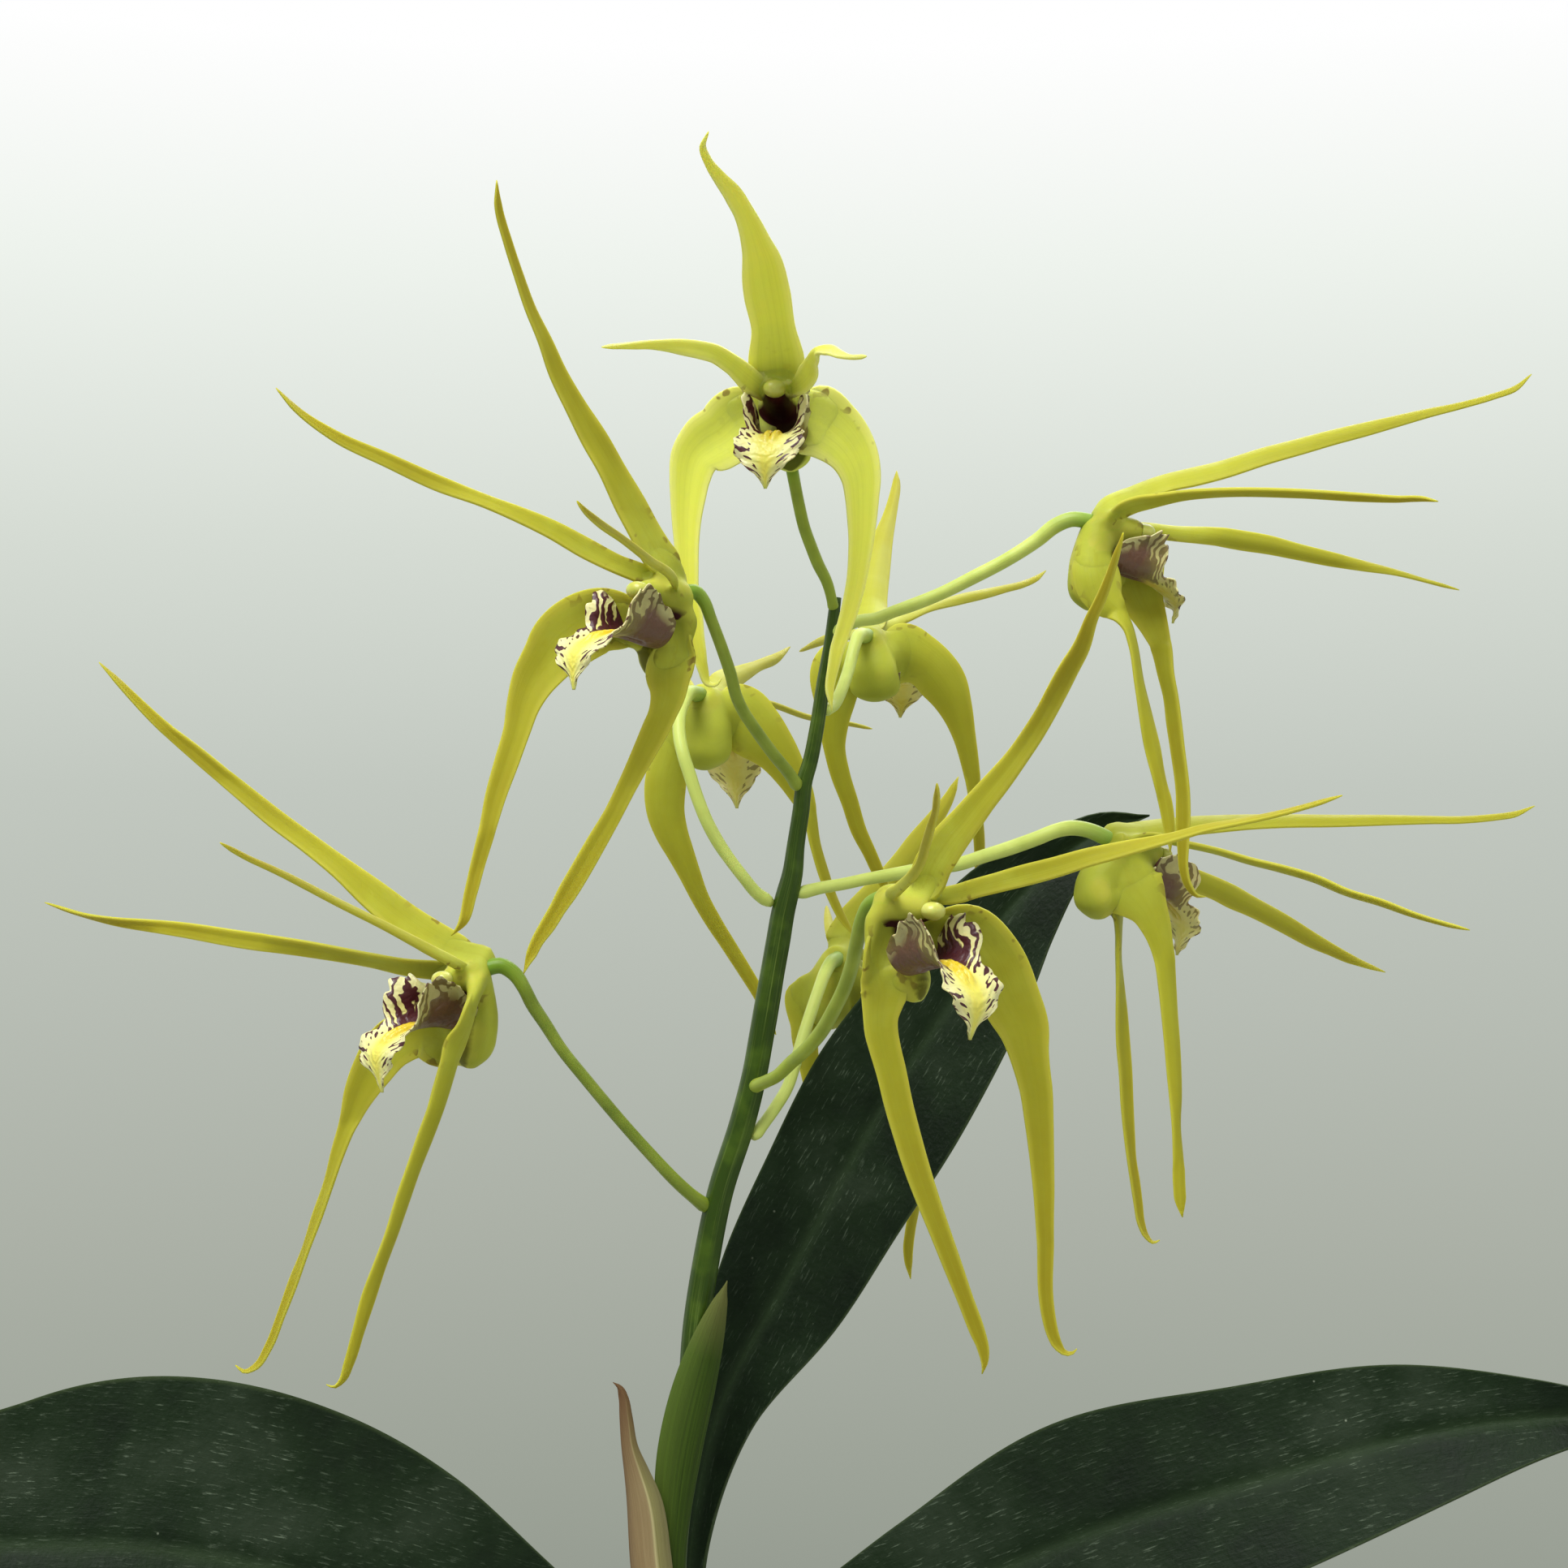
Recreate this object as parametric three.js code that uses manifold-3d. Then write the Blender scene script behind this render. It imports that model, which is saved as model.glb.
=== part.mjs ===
import * as THREE from "three";
import { mergeVertices } from "three/addons/utils/BufferGeometryUtils.js";
import Module from "manifold-3d";

const wasm = await Module();
wasm.setup();

// Driving dimensions, in millimetres
const POT_HEIGHT = 97;
const POT_TOP_RADIUS = 61.5;
const POT_BASE_RADIUS = 42;
const POT_WALL = 6;
const RIM_HEIGHT = 20;
const RIM_STEP = 4;
const DRAIN_RADIUS = 5;
const DRAIN_CIRCLE = 22;
const BARK_LEVEL = 83;
const CANE_TOP = 223;
const CANE_FOOT = 62;
const CANE_RADIUS = 6.4;
const RING_SPACING = 23;
const TEPAL_EDGE = 0.6;
const TEPAL_MIDDLE = 1.0;
const LIP_THICKNESS = 0.7;
const COLUMN_RADIUS = 1.75;
const CHIN_RADIUS = 2.5;
const CAP_LENGTH = 2.2;
const CAP_RADIUS = 1.6;
const LEAF_THICKNESS = 1.3;
const GAP = 0.3;

// The eye stands level with the blooms, a pixel is a tenth of a millimetre in the plane of the stem
const EYE_X = 10;
const EYE_DISTANCE = 300;
const EYE_HEIGHT = 330;
const PHOTO_CENTRE = 966;
const MM_PER_PIXEL = 0.1;

const UP = new THREE.Vector3(0, 0, 1);
const AWAY = new THREE.Vector3(0, 1, 0);

// Size of one pixel at a depth behind the stem's plane
function pixel(depth) {
  return (MM_PER_PIXEL * (EYE_DISTANCE + depth)) / EYE_DISTANCE;
}

// The point that is seen at a pixel when it lies at a depth
function seen(px, py, depth) {
  const x = EYE_X + (px - PHOTO_CENTRE) * pixel(depth);
  const z = EYE_HEIGHT - (py - PHOTO_CENTRE) * pixel(depth);
  return new THREE.Vector3(x, depth, z);
}

// Closed geometry from points and faces, turned to face out
function closed(points, faces) {
  let volume = 0;
  const cross = new THREE.Vector3();
  for (const [a, b, c] of faces) {
    volume += cross.crossVectors(points[b], points[c]).dot(points[a]);
  }
  const turned = volume < 0 ? faces.map(([a, b, c]) => [a, c, b]) : faces;
  const geometry = new THREE.BufferGeometry().setFromPoints(points);
  geometry.setIndex(turned.flat());
  return geometry;
}

function solid(geometry) {
  const bare = new THREE.BufferGeometry();
  bare.setAttribute("position", geometry.getAttribute("position"));
  bare.setIndex(geometry.index);
  const merged = mergeVertices(bare, 1e-4);
  return new wasm.Manifold(
    new wasm.Mesh({
      numProp: 3,
      vertProperties: new Float32Array(merged.attributes.position.array),
      triVerts: new Uint32Array(merged.index.array),
    }),
  );
}

function fuse(solids) {
  return solids.reduce((sum, next) => sum.add(next));
}

function cut(body, tools) {
  return tools.reduce((left, tool) => left.subtract(tool), body);
}

// Two faces for each quad between ring i and the next, the same way round the whole skin
function skin(rings, size) {
  const faces = [];
  for (let i = 0; i < rings - 1; i += 1) {
    for (let k = 0; k < size; k += 1) {
      const a = i * size + k;
      const b = i * size + ((k + 1) % size);
      faces.push([a, b, a + size], [b, b + size, a + size]);
    }
  }
  return faces;
}

// Direction of travel at each point of a line
function headings(line) {
  return line.map((point, i) => {
    const before = line[Math.max(i - 1, 0)];
    const after = line[Math.min(i + 1, line.length - 1)];
    return after.clone().sub(before).normalize();
  });
}

// The same line with both its ends drawn out
function drawnOut(line, way, reach) {
  const last = line.length - 1;
  return line.map((point, i) => {
    const sign = i === 0 ? -1 : i === last ? 1 : 0;
    return point.clone().addScaledVector(way[i], sign * reach);
  });
}

// Round strand along a line, with one radius for each point; grow swells it all round
function strand(line, radii, sides, grow = 0) {
  const way = headings(line);
  const points = [];
  drawnOut(line, way, grow).forEach((centre, i) => {
    const across = new THREE.Vector3().crossVectors(way[i], AWAY).normalize();
    const over = new THREE.Vector3().crossVectors(across, way[i]).normalize();
    for (let k = 0; k < sides; k += 1) {
      const angle = (2 * Math.PI * k) / sides;
      points.push(
        centre
          .clone()
          .addScaledVector(across, Math.cos(angle) * (radii[i] + grow))
          .addScaledVector(over, Math.sin(angle) * (radii[i] + grow)),
      );
    }
  });
  const faces = skin(line.length, sides);
  const last = points.length - sides;
  for (let k = 1; k < sides - 1; k += 1) {
    faces.push([0, k + 1, k], [last, last + k, last + k + 1]);
  }
  return solid(closed(points, faces));
}

// Numbers read at an even place between listed ones
function along(list, t) {
  const place = Math.min(Math.max(t, 0), 1) * (list.length - 1);
  const low = Math.min(Math.floor(place), list.length - 2);
  return list[low] + (list[low + 1] - list[low]) * (place - low);
}

// Stem through seen points, each one pixel x, pixel y, depth and seen width
function stem(path, rings, sides, grow = 0) {
  const curve = new THREE.CatmullRomCurve3(path.map(([x, y, d]) => seen(x, y, d)));
  const radii = path.map(([, , d, width]) => (width * pixel(d)) / 2);
  const line = [];
  const sizes = [];
  for (let i = 0; i < rings; i += 1) {
    const t = i / (rings - 1);
    line.push(curve.getPoint(t));
    sizes.push(along(radii, t));
  }
  return strand(line, sizes, sides, grow);
}

// Channelled blade: a middle and two raised edges, each with a front and a back
function blade(line, halves, normals, channel, edge, middle, grow) {
  const points = [];
  const size = 6;
  drawnOut(line, headings(line), grow).forEach((centre, i) => {
    const half = halves[i];
    const wide = half.clone().addScaledVector(half.clone().normalize(), grow);
    const n = normals[i];
    const lift = channel * half.length();
    const place = (side, height) =>
      centre.clone().addScaledVector(wide, side).addScaledVector(n, height);
    points.push(
      place(-1, lift + edge / 2 + grow),
      place(0, middle / 2 + grow),
      place(1, lift + edge / 2 + grow),
      place(1, lift - edge / 2 - grow),
      place(0, -middle / 2 - grow),
      place(-1, lift - edge / 2 - grow),
    );
  });
  const faces = skin(line.length, size);
  const last = points.length - size;
  faces.push([0, 5, 4], [0, 4, 1], [1, 4, 3], [1, 3, 2]);
  faces.push([last, last + 4, last + 5], [last, last + 1, last + 4]);
  faces.push([last + 1, last + 3, last + 4], [last + 1, last + 2, last + 3]);
  return solid(closed(points, faces));
}

// Blade through seen points, each one pixel x, pixel y and seen width.
// It runs from one depth to another, and where it looks narrower than its real width
// it is turned, the edge to the right of its travel coming nearer for a turn of 1.
// A lean tips the whole blade by that share of its width instead.
function seenBlade(shape, full, inner, steps, edge, middle, channel, grow) {
  const { path, depth, turn = 1, lean = 0 } = shape;
  const curve = new THREE.CatmullRomCurve3(
    path.map(([x, y, width]) => new THREE.Vector3(x, y, width)),
    false,
    "centripetal",
  );
  const spots = curve.getSpacedPoints(steps);
  const depths = spots.map((_, i) => depth[0] + (depth[1] - depth[0]) * (i / steps));
  const line = spots.map((spot, i) => seen(spot.x, spot.y, depths[i]));
  const halves = headings(line).map((way, i) => {
    const flat = new THREE.Vector3(-way.z, 0, way.x).normalize();
    const look = Math.max(spots[i].z * pixel(depths[i]), edge);
    const real = Math.max(along(full, i / steps), look);
    const deep = lean * look + Math.sqrt(real * real - look * look) * turn;
    return flat.multiplyScalar(look / 2).addScaledVector(AWAY, deep / 2);
  });
  const normals = headings(line).map((way, i) =>
    new THREE.Vector3().crossVectors(way, halves[i]).normalize(),
  );
  if (normals[0].dot(inner) < 0) normals.forEach((n) => n.negate());
  return blade(line, halves, normals, channel, edge, middle, grow);
}

// Real widths of the flower's five tepals from base to tip
const FULL_WIDTH = {
  dorsal: [5.6, 4.2, 2.6, 1.6, 0.9],
  petal: [2.4, 2.5, 2.1, 1.6, 0.9],
  lateral: [5.4, 2.8, 2.2, 1.9, 1.0],
};
const TEPAL_STEPS = { dorsal: 7, petal: 6, lateral: 8 };
const TEPAL_CHANNEL = 0.16;

// Half widths and heights of the lip's edge from its foot, over the side lobes, to the tip
const LIP_HALF = [1.0, 2.3, 2.9, 2.8, 3.3, 3.0, 0.5];
const LIP_RISE = [0.3, 3.9, 6.3, 3.4, 0.3, -0.4, 0.1];
const LIP_STEPS = 8;
const LIP_ACROSS = 6;
const LIP_WAVE = 0.45;

// Frame of a flower: where its column starts, the way it looks, and its right and up
function frameOf(flower) {
  const heart = seen(...flower.heart);
  const face = seen(...flower.cap).sub(heart).normalize();
  const right = new THREE.Vector3().crossVectors(face, UP).normalize();
  const up = new THREE.Vector3().crossVectors(right, face).normalize();
  return { heart, face, right, up };
}

// Sepals, petals, column and chin of one flower, fused at its heart
function perianth(flower, grow = 0) {
  const { heart, face } = frameOf(flower);
  const tip = seen(...flower.cap);
  const chin = flower.chin.map((spot) => seen(...spot));
  const column = [-0.35, 0.1, 0.5, 0.9].map((t) => heart.clone().lerp(tip, t));
  const under = [-0.1, 0.5].map((t) => heart.clone().lerp(chin[0], t));
  const end = chin[1].clone().lerp(chin[0], -0.35);
  const bodies = [
    strand(column, [0.75, 1.25, 1, 0.92].map((r) => r * COLUMN_RADIUS), 6, grow),
    strand([...under, ...chin, end], [0.7, 0.92, 1, 0.8, 0.3].map((r) => r * CHIN_RADIUS), 6, grow),
  ];
  for (const tepal of flower.tepals) {
    const [x, y, width] = tepal.path[0];
    const [hx, hy] = flower.heart;
    const start = [hx + (x - hx) * 0.15, hy + (y - hy) * 0.15, width * 0.45];
    const outward = seen(...tepal.path[2]).setY(heart.y).sub(heart).normalize();
    bodies.push(
      seenBlade(
        { ...tepal, path: [start, ...tepal.path] },
        FULL_WIDTH[tepal.kind],
        face.clone().sub(outward),
        TEPAL_STEPS[tepal.kind],
        TEPAL_EDGE,
        TEPAL_MIDDLE,
        TEPAL_CHANNEL,
        grow,
      ),
    );
  }
  return fuse(bodies);
}

// Lip of one flower: a sheet with raised side lobes and a waved middle lobe with a turned-down tip
function lip(flower) {
  const { right } = frameOf(flower);
  const curve = new THREE.CatmullRomCurve3(flower.lip.map((spot) => seen(...spot)));
  const line = Array.from({ length: LIP_STEPS + 1 }, (_, i) => curve.getPoint(i / LIP_STEPS));
  const way = headings(line);
  const sheet = line.map((centre, i) => {
    const t = i / LIP_STEPS;
    const rise = new THREE.Vector3().crossVectors(right, way[i]).normalize();
    const wave = LIP_WAVE * Math.sin(i * 2.2) * (t > 0.55 && t < 0.95 ? 1 : 0);
    return Array.from({ length: LIP_ACROSS + 1 }, (_, k) => {
      const v = (2 * k) / LIP_ACROSS - 1;
      const out = Math.sign(v) * Math.abs(v) ** 0.7;
      return centre
        .clone()
        .addScaledVector(right, out * along(LIP_HALF, t))
        .addScaledVector(rise, v * v * (along(LIP_RISE, t) + wave));
    });
  });
  const front = [];
  const back = [];
  sheet.forEach((row, i) => {
    row.forEach((point, k) => {
      const before = sheet[Math.max(i - 1, 0)][k];
      const after = sheet[Math.min(i + 1, LIP_STEPS)][k];
      const beside = row[Math.max(k - 1, 0)];
      const beyond = row[Math.min(k + 1, LIP_ACROSS)];
      const n = new THREE.Vector3()
        .crossVectors(after.clone().sub(before), beyond.clone().sub(beside))
        .normalize();
      front.push(point.clone().addScaledVector(n, LIP_THICKNESS / 2));
      back.push(point.clone().addScaledVector(n, -LIP_THICKNESS / 2));
    });
  });
  const rowSize = LIP_ACROSS + 1;
  const faces = [];
  const shift = front.length;
  for (let i = 0; i < LIP_STEPS; i += 1) {
    for (let k = 0; k < LIP_ACROSS; k += 1) {
      const a = i * rowSize + k;
      const b = a + 1;
      const c = a + rowSize;
      const d = c + 1;
      faces.push([a, c, b], [b, c, d]);
      faces.push([a + shift, b + shift, c + shift], [b + shift, d + shift, c + shift]);
    }
  }
  const rim = [];
  for (let k = 0; k < LIP_ACROSS; k += 1) rim.push(k);
  for (let i = 0; i < LIP_STEPS; i += 1) rim.push(i * rowSize + LIP_ACROSS);
  for (let k = LIP_ACROSS; k > 0; k -= 1) rim.push(LIP_STEPS * rowSize + k);
  for (let i = LIP_STEPS; i > 0; i -= 1) rim.push(i * rowSize);
  rim.forEach((a, i) => {
    const b = rim[(i + 1) % rim.length];
    faces.push([a, b, b + shift], [a, b + shift, a + shift]);
  });
  return solid(closed([...front, ...back], faces));
}

// Domed cap on the end of the column, its flat back a gap ahead of it
function cap(flower, grow = 0) {
  const { heart, face } = frameOf(flower);
  const tip = seen(...flower.cap);
  const start = heart.clone().lerp(tip, 0.9).addScaledVector(face, GAP);
  const places = [0, 0.3, 0.75, 1];
  const line = places.map((t) => start.clone().addScaledVector(face, t * CAP_LENGTH));
  return strand(line, [0.85, 1, 0.75, 0.25].map((r) => r * CAP_RADIUS), 7, grow);
}

// The nine blooms. Each has the pixel and depth of its heart, of the cap on its column,
// of its chin's middle and bottom, of seven places along its lip, and its five tepals.
const FLOWERS = [
  {
    name: "a",
    heart: [962, 497, -11],
    cap: [954, 478, -19],
    chin: [[972, 552, -9], [972, 584, -9.5]],
    lip: [
      [966, 578, -13.5],
      [962, 562, -15.5],
      [957, 547, -18],
      [950, 542, -20.5],
      [944, 546, -22.5],
      [941, 572, -23.5],
      [943, 602, -22],
    ],
    tepals: [
      {
        kind: "dorsal",
        depth: [-12, -55],
        path: [[957, 450, 68], [944, 360, 57], [930, 300, 38], [913, 258, 26], [873, 162, 5]],
      },
      {
        kind: "petal",
        depth: [-12, -48],
        path: [[925, 470, 30], [880, 436, 23], [820, 426, 15], [741, 428, 5]],
      },
      {
        kind: "petal",
        depth: [-12, -52],
        path: [[990, 468, 28], [1003, 440, 18], [1024, 433, 17], [1068, 439, 5]],
      },
      {
        kind: "lateral",
        depth: [-12, -12],
        path: [
          [912, 520, 82], [873, 548, 77], [850, 590, 50], [846, 670, 30],
          [855, 760, 22], [864, 822, 13], [887, 838, 6],
        ],
      },
      {
        kind: "lateral",
        depth: [-12, -9],
        path: [
          [998, 519, 82], [1040, 545, 72], [1061, 590, 48], [1061, 665, 31],
          [1045, 758, 21], [1031, 802, 17], [1024, 876, 6],
        ],
      },
    ],
  },
  {
    name: "b",
    heart: [835, 737, -19],
    cap: [784, 727, -24],
    chin: [[818, 788, -17], [796, 832, -18]],
    lip: [
      [784, 818, -23],
      [772, 802, -24.5],
      [757, 790, -26],
      [735, 783, -27.5],
      [710, 782, -29],
      [697, 805, -30],
      [707, 850, -29],
    ],
    tepals: [
      {
        kind: "dorsal",
        depth: [-20, -34],
        path: [[820, 700, 42], [790, 650, 39], [731, 540, 33], [671, 420, 18], [612, 221, 5]],
      },
      {
        kind: "petal",
        depth: [-20, -30],
        path: [[795, 710, 24], [720, 675, 26], [640, 635, 21], [479, 568, 18], [340, 478, 4]],
      },
      {
        kind: "petal",
        depth: [-22, -62],
        turn: -1,
        path: [[826, 710, 14], [800, 690, 13], [768, 665, 12], [711, 617, 4]],
      },
      {
        kind: "lateral",
        depth: [-20, -26],
        path: [
          [740, 765, 76], [675, 813, 65], [646, 866, 42], [611, 980, 26],
          [580, 1100, 16], [556, 1153, 5],
        ],
      },
      {
        kind: "lateral",
        depth: [-18, -22],
        turn: -1,
        path: [
          [834, 795, 46], [816, 880, 34], [777, 960, 25], [724, 1058, 25],
          [675, 1140, 19], [645, 1200, 5],
        ],
      },
    ],
  },
  {
    name: "c",
    heart: [588, 1203, -10],
    cap: [545, 1207, -12],
    chin: [[590, 1258, -10], [580, 1302, -10]],
    lip: [
      [567, 1296, -10.5],
      [557, 1280, -11],
      [540, 1268, -11.5],
      [510, 1264, -12],
      [474, 1270, -13],
      [452, 1300, -13.5],
      [470, 1346, -13],
    ],
    tepals: [
      {
        kind: "dorsal",
        depth: [-10, -14],
        path: [
          [585, 1184, 32], [540, 1162, 38], [460, 1104, 35], [340, 1010, 23],
          [200, 894, 14], [122, 816, 4],
        ],
      },
      {
        kind: "petal",
        depth: [-12, -50],
        turn: -1,
        path: [[570, 1192, 12], [521, 1166, 11], [420, 1114, 8], [271, 1038, 5]],
      },
      {
        kind: "petal",
        depth: [-8, 4],
        path: [[570, 1197, 24], [500, 1191, 22], [300, 1158, 21], [140, 1135, 11], [55, 1112, 4]],
      },
      {
        kind: "lateral",
        depth: [-13, -20],
        path: [
          [592, 1230, 36], [588, 1275, 32], [563, 1322, 19], [525, 1400, 19], [483, 1520, 15],
          [442, 1640, 14], [402, 1706, 5],
        ],
      },
      {
        kind: "lateral",
        depth: [-8, -2],
        turn: -1,
        path: [
          [560, 1285, 56], [520, 1270, 62], [465, 1310, 52], [431, 1380, 25], [391, 1500, 15],
          [347, 1620, 12], [290, 1682, 4],
        ],
      },
    ],
  },
  {
    name: "d",
    heart: [1352, 648, -5],
    cap: [1412, 656, -4],
    chin: [[1342, 702, -5], [1345, 740, -5]],
    lip: [
      [1364, 738, -5],
      [1375, 720, -5],
      [1395, 708, -5],
      [1425, 710, -4.5],
      [1453, 716, -4],
      [1464, 742, -4],
      [1446, 767, -4],
    ],
    tepals: [
      {
        kind: "dorsal",
        depth: [-5, -5],
        path: [[1366, 625, 30], [1435, 594, 26], [1562, 560, 24], [1719, 519, 15], [1887, 461, 4]],
      },
      {
        kind: "petal",
        depth: [-7.5, -40],
        turn: -1,
        path: [[1378, 631, 18], [1440, 612, 14], [1600, 608, 10], [1719, 615, 8], [1772, 618, 5]],
      },
      {
        kind: "petal",
        depth: [-2.5, 22],
        path: [[1398, 649, 18], [1442, 656, 20], [1562, 671, 23], [1680, 697, 14], [1798, 727, 4]],
      },
      {
        kind: "lateral",
        depth: [-8, -10],
        path: [
          [1350, 690, 44], [1358, 725, 40], [1385, 770, 18], [1402, 835, 15], [1420, 920, 20],
          [1438, 1000, 16], [1442, 1050, 6],
        ],
      },
      {
        kind: "lateral",
        depth: [-1.6, -3],
        turn: -1,
        path: [
          [1384, 694, 56], [1405, 735, 50], [1432, 801, 24], [1445, 880, 17], [1458, 990, 17],
          [1460, 1060, 11], [1484, 1105, 4],
        ],
      },
    ],
  },
  {
    name: "e",
    heart: [1380, 1045, 10],
    cap: [1434, 1053, 13],
    chin: [[1352, 1088, 9], [1352, 1122, 9]],
    lip: [
      [1380, 1120, 12],
      [1393, 1108, 12.5],
      [1410, 1102, 13],
      [1432, 1102, 13.5],
      [1455, 1110, 14],
      [1463, 1140, 14.5],
      [1450, 1176, 14],
    ],
    tepals: [
      {
        kind: "dorsal",
        depth: [10, 16],
        path: [[1370, 1030, 28], [1440, 1019, 26], [1580, 1011, 17], [1761, 1010, 10], [1891, 993, 4]],
      },
      {
        kind: "petal",
        depth: [9, -12],
        turn: -1,
        path: [[1410, 1036, 10], [1500, 1049, 8], [1620, 1083, 10], [1741, 1127, 7], [1811, 1146, 4]],
      },
      {
        kind: "petal",
        depth: [13, 44],
        path: [[1420, 1062, 26], [1500, 1096, 27], [1580, 1137, 23], [1660, 1180, 12], [1707, 1198, 4]],
      },
      {
        kind: "lateral",
        depth: [7, 2],
        path: [
          [1392, 1075, 56], [1412, 1092, 62], [1425, 1135, 38], [1439, 1219, 23],
          [1447, 1320, 19], [1452, 1425, 14], [1457, 1500, 6],
        ],
      },
      {
        kind: "lateral",
        depth: [11, 14],
        path: [
          [1362, 1100, 44], [1374, 1150, 14], [1380, 1230, 15], [1386, 1320, 18],
          [1394, 1430, 13], [1429, 1527, 4],
        ],
      },
    ],
  },
  {
    name: "f",
    heart: [1096, 1112, -33],
    cap: [1152, 1123, -38.5],
    chin: [[1112, 1180, -31], [1136, 1226, -34]],
    lip: [
      [1136, 1218, -38],
      [1144, 1205, -39],
      [1160, 1194, -40],
      [1180, 1190, -42],
      [1202, 1200, -44],
      [1204, 1232, -45],
      [1194, 1280, -44],
    ],
    tepals: [
      {
        kind: "dorsal",
        depth: [-34, -72],
        path: [
          [1140, 1095, 40], [1180, 1022, 42], [1231, 962, 31], [1303, 851, 25],
          [1349, 760, 18], [1376, 690, 6],
        ],
      },
      {
        kind: "petal",
        depth: [-35, -56],
        path: [
          [1155, 1106, 20], [1230, 1088, 24], [1300, 1069, 25], [1400, 1043, 17],
          [1527, 1013, 8], [1654, 980, 4],
        ],
      },
      {
        kind: "petal",
        depth: [-35, -78],
        path: [[1102, 1102, 16], [1124, 1078, 14], [1141, 1040, 13], [1154, 965, 5]],
      },
      {
        kind: "lateral",
        depth: [-34, -30],
        path: [
          [1086, 1140, 46], [1082, 1195, 66], [1086, 1270, 42], [1107, 1360, 35],
          [1144, 1480, 28], [1189, 1600, 20], [1210, 1693, 6],
        ],
      },
      {
        kind: "lateral",
        depth: [-35, -32],
        path: [
          [1195, 1150, 66], [1240, 1220, 74], [1272, 1320, 44], [1286, 1467, 26],
          [1291, 1610, 18], [1326, 1663, 5],
        ],
      },
    ],
  },
  {
    name: "g",
    heart: [866, 862, 14],
    cap: [884, 868, 21],
    chin: [[872, 905, 13], [866, 938, 13]],
    lip: [
      [873, 938, 17],
      [880, 928, 19],
      [887, 922, 22],
      [894, 922, 25],
      [901, 930, 28],
      [905, 955, 29],
      [908, 996, 28],
    ],
    tepals: [
      {
        kind: "dorsal",
        depth: [15, 62],
        path: [[885, 845, 34], [917, 828, 22], [945, 817, 14], [974, 797, 5]],
      },
      {
        kind: "petal",
        depth: [15, 58],
        turn: -1,
        path: [[900, 862, 12], [943, 866, 8], [997, 884, 7], [1075, 898, 5]],
      },
      {
        kind: "petal",
        depth: [14, 60],
        path: [[852, 850, 14], [842, 838, 14], [832, 832, 10], [824, 832, 5]],
      },
      {
        kind: "lateral",
        depth: [14, 20],
        path: [
          [908, 886, 66], [955, 925, 55], [988, 980, 30], [1005, 1040, 14],
          [1026, 1106, 12], [1053, 1153, 5],
        ],
      },
      {
        kind: "lateral",
        depth: [13, 22],
        path: [
          [848, 890, 56], [822, 960, 50], [838, 1050, 33], [880, 1137, 20],
          [932, 1220, 15], [956, 1275, 6],
        ],
      },
    ],
  },
  {
    name: "h",
    heart: [1070, 792, 17],
    cap: [1085, 798, 24],
    chin: [[1077, 832, 16], [1078, 856, 17]],
    lip: [
      [1082, 860, 20],
      [1088, 850, 22],
      [1095, 844, 25],
      [1102, 842, 28],
      [1108, 846, 31],
      [1111, 862, 32],
      [1109, 884, 31],
    ],
    tepals: [
      {
        kind: "dorsal",
        depth: [18, 62],
        path: [[1072, 760, 40], [1080, 700, 34], [1092, 650, 21], [1105, 580, 5]],
      },
      {
        kind: "petal",
        depth: [18, 60],
        path: [[1085, 774, 16], [1140, 751, 12], [1220, 730, 12], [1289, 703, 4]],
      },
      {
        kind: "petal",
        depth: [18, 62],
        turn: -1,
        path: [[1052, 782, 16], [1030, 784, 14], [1012, 790, 12], [985, 803, 5]],
      },
      {
        kind: "lateral",
        depth: [18, 30],
        path: [
          [1112, 806, 70], [1164, 844, 57], [1188, 906, 28], [1204, 1005, 16], [1205, 1108, 5],
        ],
      },
      {
        kind: "lateral",
        depth: [17, 26],
        path: [
          [1040, 820, 66], [1028, 870, 48], [1028, 930, 27], [1047, 988, 21], [1100, 1112, 6],
        ],
      },
    ],
  },
  {
    name: "i",
    heart: [1030, 1184, 26],
    cap: [1058, 1192, 32],
    chin: [[1018, 1222, 26], [1022, 1256, 27]],
    lip: [
      [1034, 1266, 30],
      [1043, 1258, 32],
      [1053, 1254, 34.5],
      [1063, 1254, 37],
      [1072, 1259, 39],
      [1076, 1278, 40],
      [1073, 1300, 39],
    ],
    tepals: [
      {
        kind: "dorsal",
        depth: [26, 56],
        path: [[1040, 1162, 44], [1070, 1115, 40], [1115, 1062, 32], [1150, 1012, 22], [1181, 957, 5]],
      },
      {
        kind: "petal",
        depth: [26, 66],
        turn: -1,
        path: [[1026, 1160, 14], [1022, 1144, 13], [1020, 1130, 10], [1018, 1116, 5]],
      },
      {
        kind: "petal",
        depth: [27, 58],
        path: [[1050, 1178, 18], [1080, 1182, 16], [1120, 1180, 14], [1180, 1172, 5]],
      },
      {
        kind: "lateral",
        depth: [26, 30],
        path: [[1004, 1222, 46], [992, 1270, 34], [1000, 1330, 22], [1012, 1430, 16], [1014, 1540, 5]],
      },
      {
        kind: "lateral",
        depth: [27, 30],
        path: [[1060, 1220, 60], [1092, 1290, 44], [1118, 1380, 24], [1126, 1480, 14], [1121, 1576, 5]],
      },
    ],
  },
];

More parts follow.
